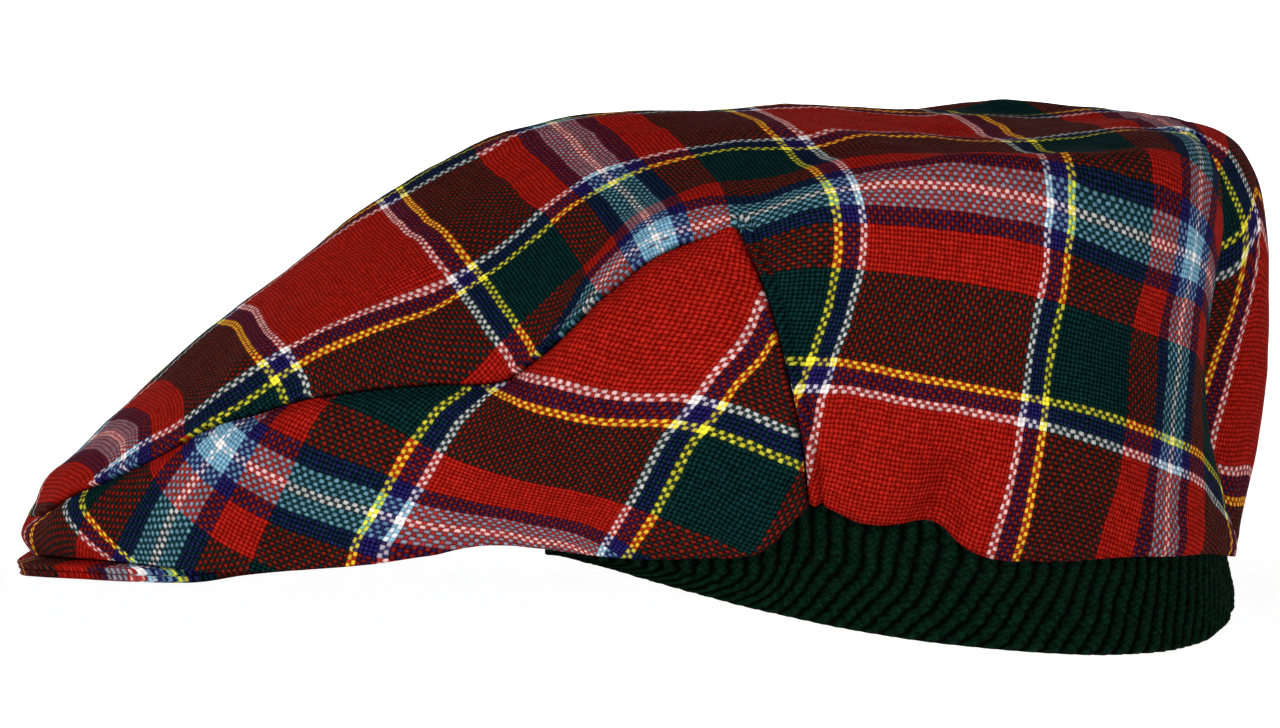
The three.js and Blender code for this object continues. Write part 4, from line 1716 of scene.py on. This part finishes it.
@dataclass
class Peak(Piece):
    """The short peak: an upper and a lower cover.

    Attributes:
        reach_deg: Angle from the centre front to each end.
        cover_mm: Thickness of a cover.
        gap_mm: Clearance between the two covers.
        rise_mm: Height of the peak's arch.
        width_mm: From the opening to the edge, for the length of the rolled edge.
        roll_mm: Length of the rolled edge.
        cloth_turn_deg: Angle of the threads to the middle of the peak.
        cloth_start: Place in the cloth of the head opening's centre.
    """

    reach_deg: float = 47.0
    cover_mm: float = 1.5
    gap_mm: float = 0.10
    rise_mm: float = 1.6
    width_mm: float = 55.0
    roll_mm: float = 1.4
    cloth_turn_deg: float = 162.0
    cloth_start: tuple[float, float] = (-91.7, 18.2)

    def sheet(self, cover: PeakCover) -> Sheet:
        """Shapes one cover.

        Args:
            cover: Which one.

        Returns:
            Its sheet.
        """
        curves = curves_through(PEAK_RAYS, ("out_r", "out_z", "in_r", "in_z"))
        inwards = np.array([0, 0.004, 0.012, 0.03, 0.06, 0.12, 0.2, 0.3, 0.4, 0.5, 0.6, 0.7, 0.8, 0.9, 1.0])
        angles = np.linspace(-self.reach_deg, self.reach_deg, 241)
        phi, share = np.meshgrid(angles, 1 - inwards, indexing="ij")
        c = {n: f(np.abs(phi)) for n, f in curves.items()}
        r = c["in_r"] + (c["out_r"] - c["in_r"]) * share
        rise = self.rise_mm * np.sin(np.pi * share) * np.cos(np.radians(np.abs(phi) * 1.8))
        z = c["in_z"] + (c["out_z"] - c["in_z"]) * share + rise - cover.depth
        edge = np.clip(1 - (1 - share) * self.width_mm / self.roll_mm, 0, 1)
        bulge = 1 - np.sqrt(np.maximum(0, 1 - edge**2))
        outer = polar(phi, r - cover.roll_out * bulge, z - cover.roll_drop * bulge)
        inner = polar(phi, r - (cover.roll_out + 0.45) * bulge, z - (self.cover_mm - cover.thinning * bulge))
        a = math.radians(self.cloth_turn_deg)
        x, y, _ = np.moveaxis(polar(phi, r + edge * (1.0 + cover.depth), z), -1, 0)
        cloth = np.stack([x * math.cos(a) - y * math.sin(a) + self.cloth_start[0],
                          -x * math.sin(a) - y * math.cos(a) + self.cloth_start[1]], -1)
        sheet = Sheet()
        sheet.net(sheet.add(outer, inner, cloth))
        return sheet

    def build(self, wool: bpy.types.Material) -> None:
        """Makes both covers and dresses them.

        Args:
            wool: Material of the cloth.
        """
        covers = (
            PeakCover("peak_upper_cloth", "peak_upper_cover", 0.0, 0.3, 0.5, 0.3),
            PeakCover("peak_lower_cloth", "peak_lower_cover", self.cover_mm + self.gap_mm, 0.8, 0.0, 0.55),
        )
        for cover in covers:
            self.dress(self.sheet(cover).mesh(cover.name), wool, Slot.WOOL, cover.node)


@dataclass
class KnitBand(Piece):
    """Ribbed knit from the left temple round the back to the right temple.

    Attributes:
        start_deg: Angle of each end.
        pitch_deg: Angle of one rib.
        rib_mm: How far a rib stands out.
        knit_mm: Thickness without the ribs.
        end_mm: Thickness at the two ends.
        tuck_mm: Knit above the hem.
        columns_per_rib: Fine columns of one rib.
        rows: Fine rows from the lower edge to the top.
    """

    start_deg: float = 66.0
    pitch_deg: float = 2.28
    rib_mm: float = 0.9
    knit_mm: float = 2.6
    end_mm: float = 1.6
    tuck_mm: float = 6.5
    columns_per_rib: int = 10
    rows: int = 40

    def wave(self, count: Array, phi: Array, z: Array, low_part: Array) -> Array:
        """Bends the ribs: they lean towards the lower edge and sway a little.

        Args:
            count: Ribs from the left end.
            phi: Angles, in degrees.
            z: Heights.
            low_part: Share of the way down to the lower edge, 0 in the upper part.

        Returns:
            The bent ribs' count.
        """
        lean = low_part ** 1.4 * (0.5 + 2.6 * np.clip((155 - np.abs(phi)) / 45, 0, 1))
        sway = 0.06 * np.sin(z * 0.5 + count * 0.9) + 0.08 * np.sin(count * 0.31)
        sway += 0.05 * np.sin(z * 2.3 + count * 2.1)
        return count + np.sign(phi) * (lean + sway)

    def relief(self, wave: Array, z: Array) -> Array:
        """Shapes the ribs and their stitches.

        Args:
            wave: The bent ribs' count.
            z: Heights.

        Returns:
            How far the knit stands out, in ribs' heights.
        """
        within = wave % 1.0
        crown = np.abs(np.sin(np.pi * within)) ** 0.8
        strands = 0.10 * bell(within - 0.5, 0.08)
        stitch = 0.20 * np.sin(2 * np.pi * (z / STITCH_MM + np.abs(within * 2 % 1 - 0.5) * 1.3))
        return crown * (1 + stitch) - strands

    def build(self, knit: bpy.types.Material) -> None:
        """Makes the knit and dresses it.

        Args:
            knit: Material of the knit.
        """
        span = 360 - 2 * self.start_deg
        ribs = round(span / self.pitch_deg)
        turns = np.linspace(0, 1, ribs * self.columns_per_rib + 1)
        turn, share = np.meshgrid(turns, np.linspace(0, 1, self.rows + 1), indexing="ij")
        count, turn = turn * ribs, self.start_deg + span * turn
        phi = np.where(turn > 180, turn - 360, turn)
        a = np.abs(phi)
        edge = curves_through(BAND_EDGES, ("low_r", "low_z"))
        hem_r, hem_z = CROWN.curves["hem_r"](a), CROWN.curves["hem_z"](a)
        low_r, low_z = edge["low_r"](a) - self.rib_mm, edge["low_z"](a)
        seat_r = hem_r - CLOTH_MM - SEAM_GAP_MM - self.rib_mm - 0.6
        gathered = np.minimum(0, CROWN.fold_height(CROWN.plain(phi, np.full_like(phi, 0.02)))) * 0.7
        z = low_z + (hem_z + self.tuck_mm - low_z) * share
        ease = eased(np.clip((hem_z - 1.2 - z) / 9, 0, 1))
        r = seat_r + gathered * (1 - ease) + (low_r - seat_r) * ease
        taper = np.clip((np.minimum(turn, 360 - turn) - self.start_deg) / 5, 0, 1)
        hanging = 0.62 * (hem_z - low_z)
        wave = self.wave(count, phi, z, np.clip((low_z + hanging - z) / hanging, 0, 1))
        rib = self.rib_mm * self.relief(wave, z) * (0.3 + 0.7 * taper)
        uneven = 0.25 * np.sin(count * 0.37) + 0.18 * np.sin(count * 1.31 + z * 0.21)
        rounding = (1 - np.sqrt(np.clip(share / 0.05, 0, 1))) * 1.1
        thickness = self.end_mm + (self.knit_mm - self.end_mm) * taper
        outer = polar(phi, r + (rib + uneven * ease) - rounding, z)
        inner = polar(phi, r - thickness + rounding, z)
        sheet = Sheet()
        sheet.net(sheet.add(outer, inner, np.stack([wave * 2, -z], -1)))
        self.dress(sheet.mesh("band_knit"), knit, Slot.KNIT, "knit_band")


@dataclass
class Topstitching(Piece):
    """A row of stitches beside the upper seam, near the corner, on both halves.

    Attributes:
        stitch_mm: Length of one stitch.
        gap_mm: Cloth between two stitches.
        radius_mm: Half the thread's thickness.
        arch_mm: Height of a stitch over its sunken ends.
        sunk_mm: How deep the ends lie in the cloth.
        from_deg: Angle at which the row starts.
        to_deg: Angle at which it ends.
        row_w: Place of the row up the sections.
        sides: Corners round the thread.
        rings: Rings along a stitch.
    """

    stitch_mm: float = 2.3
    gap_mm: float = 0.9
    radius_mm: float = 0.16
    arch_mm: float = 0.32
    sunk_mm: float = 0.14
    from_deg: float = 66.0
    to_deg: float = 84.0
    row_w: float = 0.512
    sides: int = 6
    rings: int = 7

    def build(self, thread: bpy.types.Material) -> None:
        """Makes every stitch as a small arched thread and dresses the row.

        Args:
            thread: Material of the thread.
        """
        path = WORN.fine(np.linspace(self.from_deg, self.to_deg, 400), np.full(400, self.row_w))
        points: list[Array] = []
        faces: list[tuple[int, ...]] = []
        for mirror in (1, -1):
            line = path * np.array([1, mirror, 1])
            run = np.concatenate([[0], np.cumsum(np.linalg.norm(np.diff(line, axis=0), axis=1))])
            place = 0.0
            while place + self.stitch_mm < run[-1]:
                s = place + np.linspace(0, self.stitch_mm, self.rings)
                centre = np.stack([np.interp(s, run, line[:, k]) for k in range(3)], 1)
                self._stitch(centre, points, faces)
                place += self.stitch_mm + self.gap_mm
        self.dress(make_object("topstitching", np.array(points) * MM, faces), thread, Slot.WOOL)

    def _stitch(self, centre: Array, points: list[Array], faces: list[tuple[int, ...]]) -> None:
        """Adds one stitch.

        Args:
            centre: Points along it on the cloth.
            points: Corners so far.
            faces: Faces so far.
        """
        out = unit(centre * np.array([1, 1, 0.6]) - np.array([0, 0, 10.0]))
        arch = np.sin(np.linspace(0, np.pi, self.rings))
        centre = centre + out * (arch * self.arch_mm - self.sunk_mm)[:, None]
        along = unit(np.gradient(centre, axis=0))
        side = unit(np.cross(along, out))
        up = np.cross(side, along)
        width = self.radius_mm * (0.35 + 0.65 * arch)
        base, sides, rings = len(points), self.sides, self.rings
        for i in range(rings):
            for k in range(sides):
                a = 2 * math.pi * k / sides
                points.append(centre[i] + (side[i] * math.cos(a) + up[i] * math.sin(a)) * width[i])
        around = [(k, (k + 1) % sides) for k in range(sides)]
        for i in range(rings - 1):
            low, high = base + i * sides, base + (i + 1) * sides
            faces += [(low + k, low + n, high + n, high + k) for k, n in around]
        faces.append(tuple(base + k for k in reversed(range(sides))))
        faces.append(tuple(base + (rings - 1) * sides + k for k in range(sides)))


@dataclass(frozen=True)
class Lamp:
    """A square soft light that points at the cap: its place and size in metres, its power in watts."""

    name: str
    place: Place
    size: float
    power: float

    def build(self) -> None:
        """Puts the light into the scene."""
        data = bpy.data.lights.new(self.name, "AREA")
        data.shape, data.size, data.energy = "SQUARE", self.size, self.power
        light = bpy.data.objects.new(self.name, data)
        light.location = self.place
        way = Vector((0, 0, 0.04)) - Vector(self.place)
        light.rotation_euler = way.to_track_quat("-Z", "Y").to_euler()
        bpy.context.scene.collection.objects.link(light)


@dataclass
class Studio:
    """White floor and wall with soft lights.

    Attributes:
        floor_z: Height of the floor, in metres.
        radius: From the middle to the wall, in metres.
        wall_height: Height of the wall over the floor, in metres.
        bend: Radius of the curve from the floor to the wall, in metres.
        sides: Corners of the floor's circles.
        air: Strength of the light from all round.
        lamps: The lights.
    """

    floor_z: float = -0.16
    radius: float = 4.4
    wall_height: float = 1.1
    bend: float = 0.5
    sides: int = 72
    air: float = 0.13
    lamps: tuple[Lamp, ...] = (
        Lamp("key", (-0.75, -1.45, 1.00), 1.1, 25.0),
        Lamp("fill", (0.95, -1.40, 0.45), 1.2, 11.0),
        Lamp("top", (-0.15, 0.1, 1.9), 1.6, 12.0),
    )

    def build(self) -> None:
        """Makes the floor, the lights and the world."""
        self._floor()
        for lamp in self.lamps:
            lamp.build()
        bpy.context.scene.view_settings.view_transform = "Standard"
        world = bpy.data.worlds.new("studio_air")
        bpy.context.scene.world = world
        world.use_nodes = True
        world.node_tree.nodes["Background"].inputs["Color"].default_value = (1, 1, 1, 1)
        world.node_tree.nodes["Background"].inputs["Strength"].default_value = self.air

    def _floor(self) -> None:
        """Makes a round floor that curves up into a low wall all round the cap."""
        flat, bend, sides = self.radius - self.bend, self.bend, self.sides
        profile = [(r, 0.0) for r in (0.35, 1.2, 2.4, flat)]
        profile += [(flat + bend * math.sin(t), bend - bend * math.cos(t))
                    for t in np.linspace(0, math.pi / 2, 9)[1:]]
        profile.append((self.radius, self.wall_height))
        turns = [2 * math.pi * k / sides for k in range(sides)]
        points = [(0.0, 0.0, self.floor_z)]
        for r, z in profile:
            points += [(r * math.cos(a), r * math.sin(a), self.floor_z + z) for a in turns]
        around = [(k, (k + 1) % sides) for k in range(sides)]
        faces: list[tuple[int, ...]] = [(0, 1 + k, 1 + n) for k, n in around]
        for i in range(len(profile) - 1):
            low, high = 1 + i * sides, 1 + (i + 1) * sides
            faces += [(low + k, high + k, high + n, low + n) for k, n in around]
        floor = make_object("studio_floor", np.array(points), faces)
        floor.data.materials.append(StudioPaper().material())


def corners(box: tuple[Vector, Vector]) -> list[list[float]]:
    """A box as plain lists."""
    return [[float(v) for v in corner] for corner in box]


def main() -> None:
    """Builds the cap and its studio in order."""
    logging.basicConfig(level=logging.INFO, format="%(name)s: %(message)s")
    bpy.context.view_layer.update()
    CAMERA.build()
    wool = TartanWool().material()
    CrownTop().build(wool)
    left = SidePanel(Side.LEFT)
    cloth = left.layout()
    left.build(wool, cloth)
    SidePanel(Side.RIGHT).build(wool, cloth)
    Peak().build(wool)
    KnitBand().build(GreenKnit().material())
    Topstitching().build(SewingThread().material())
    Studio().build()


if __name__ == "__main__":
    main()
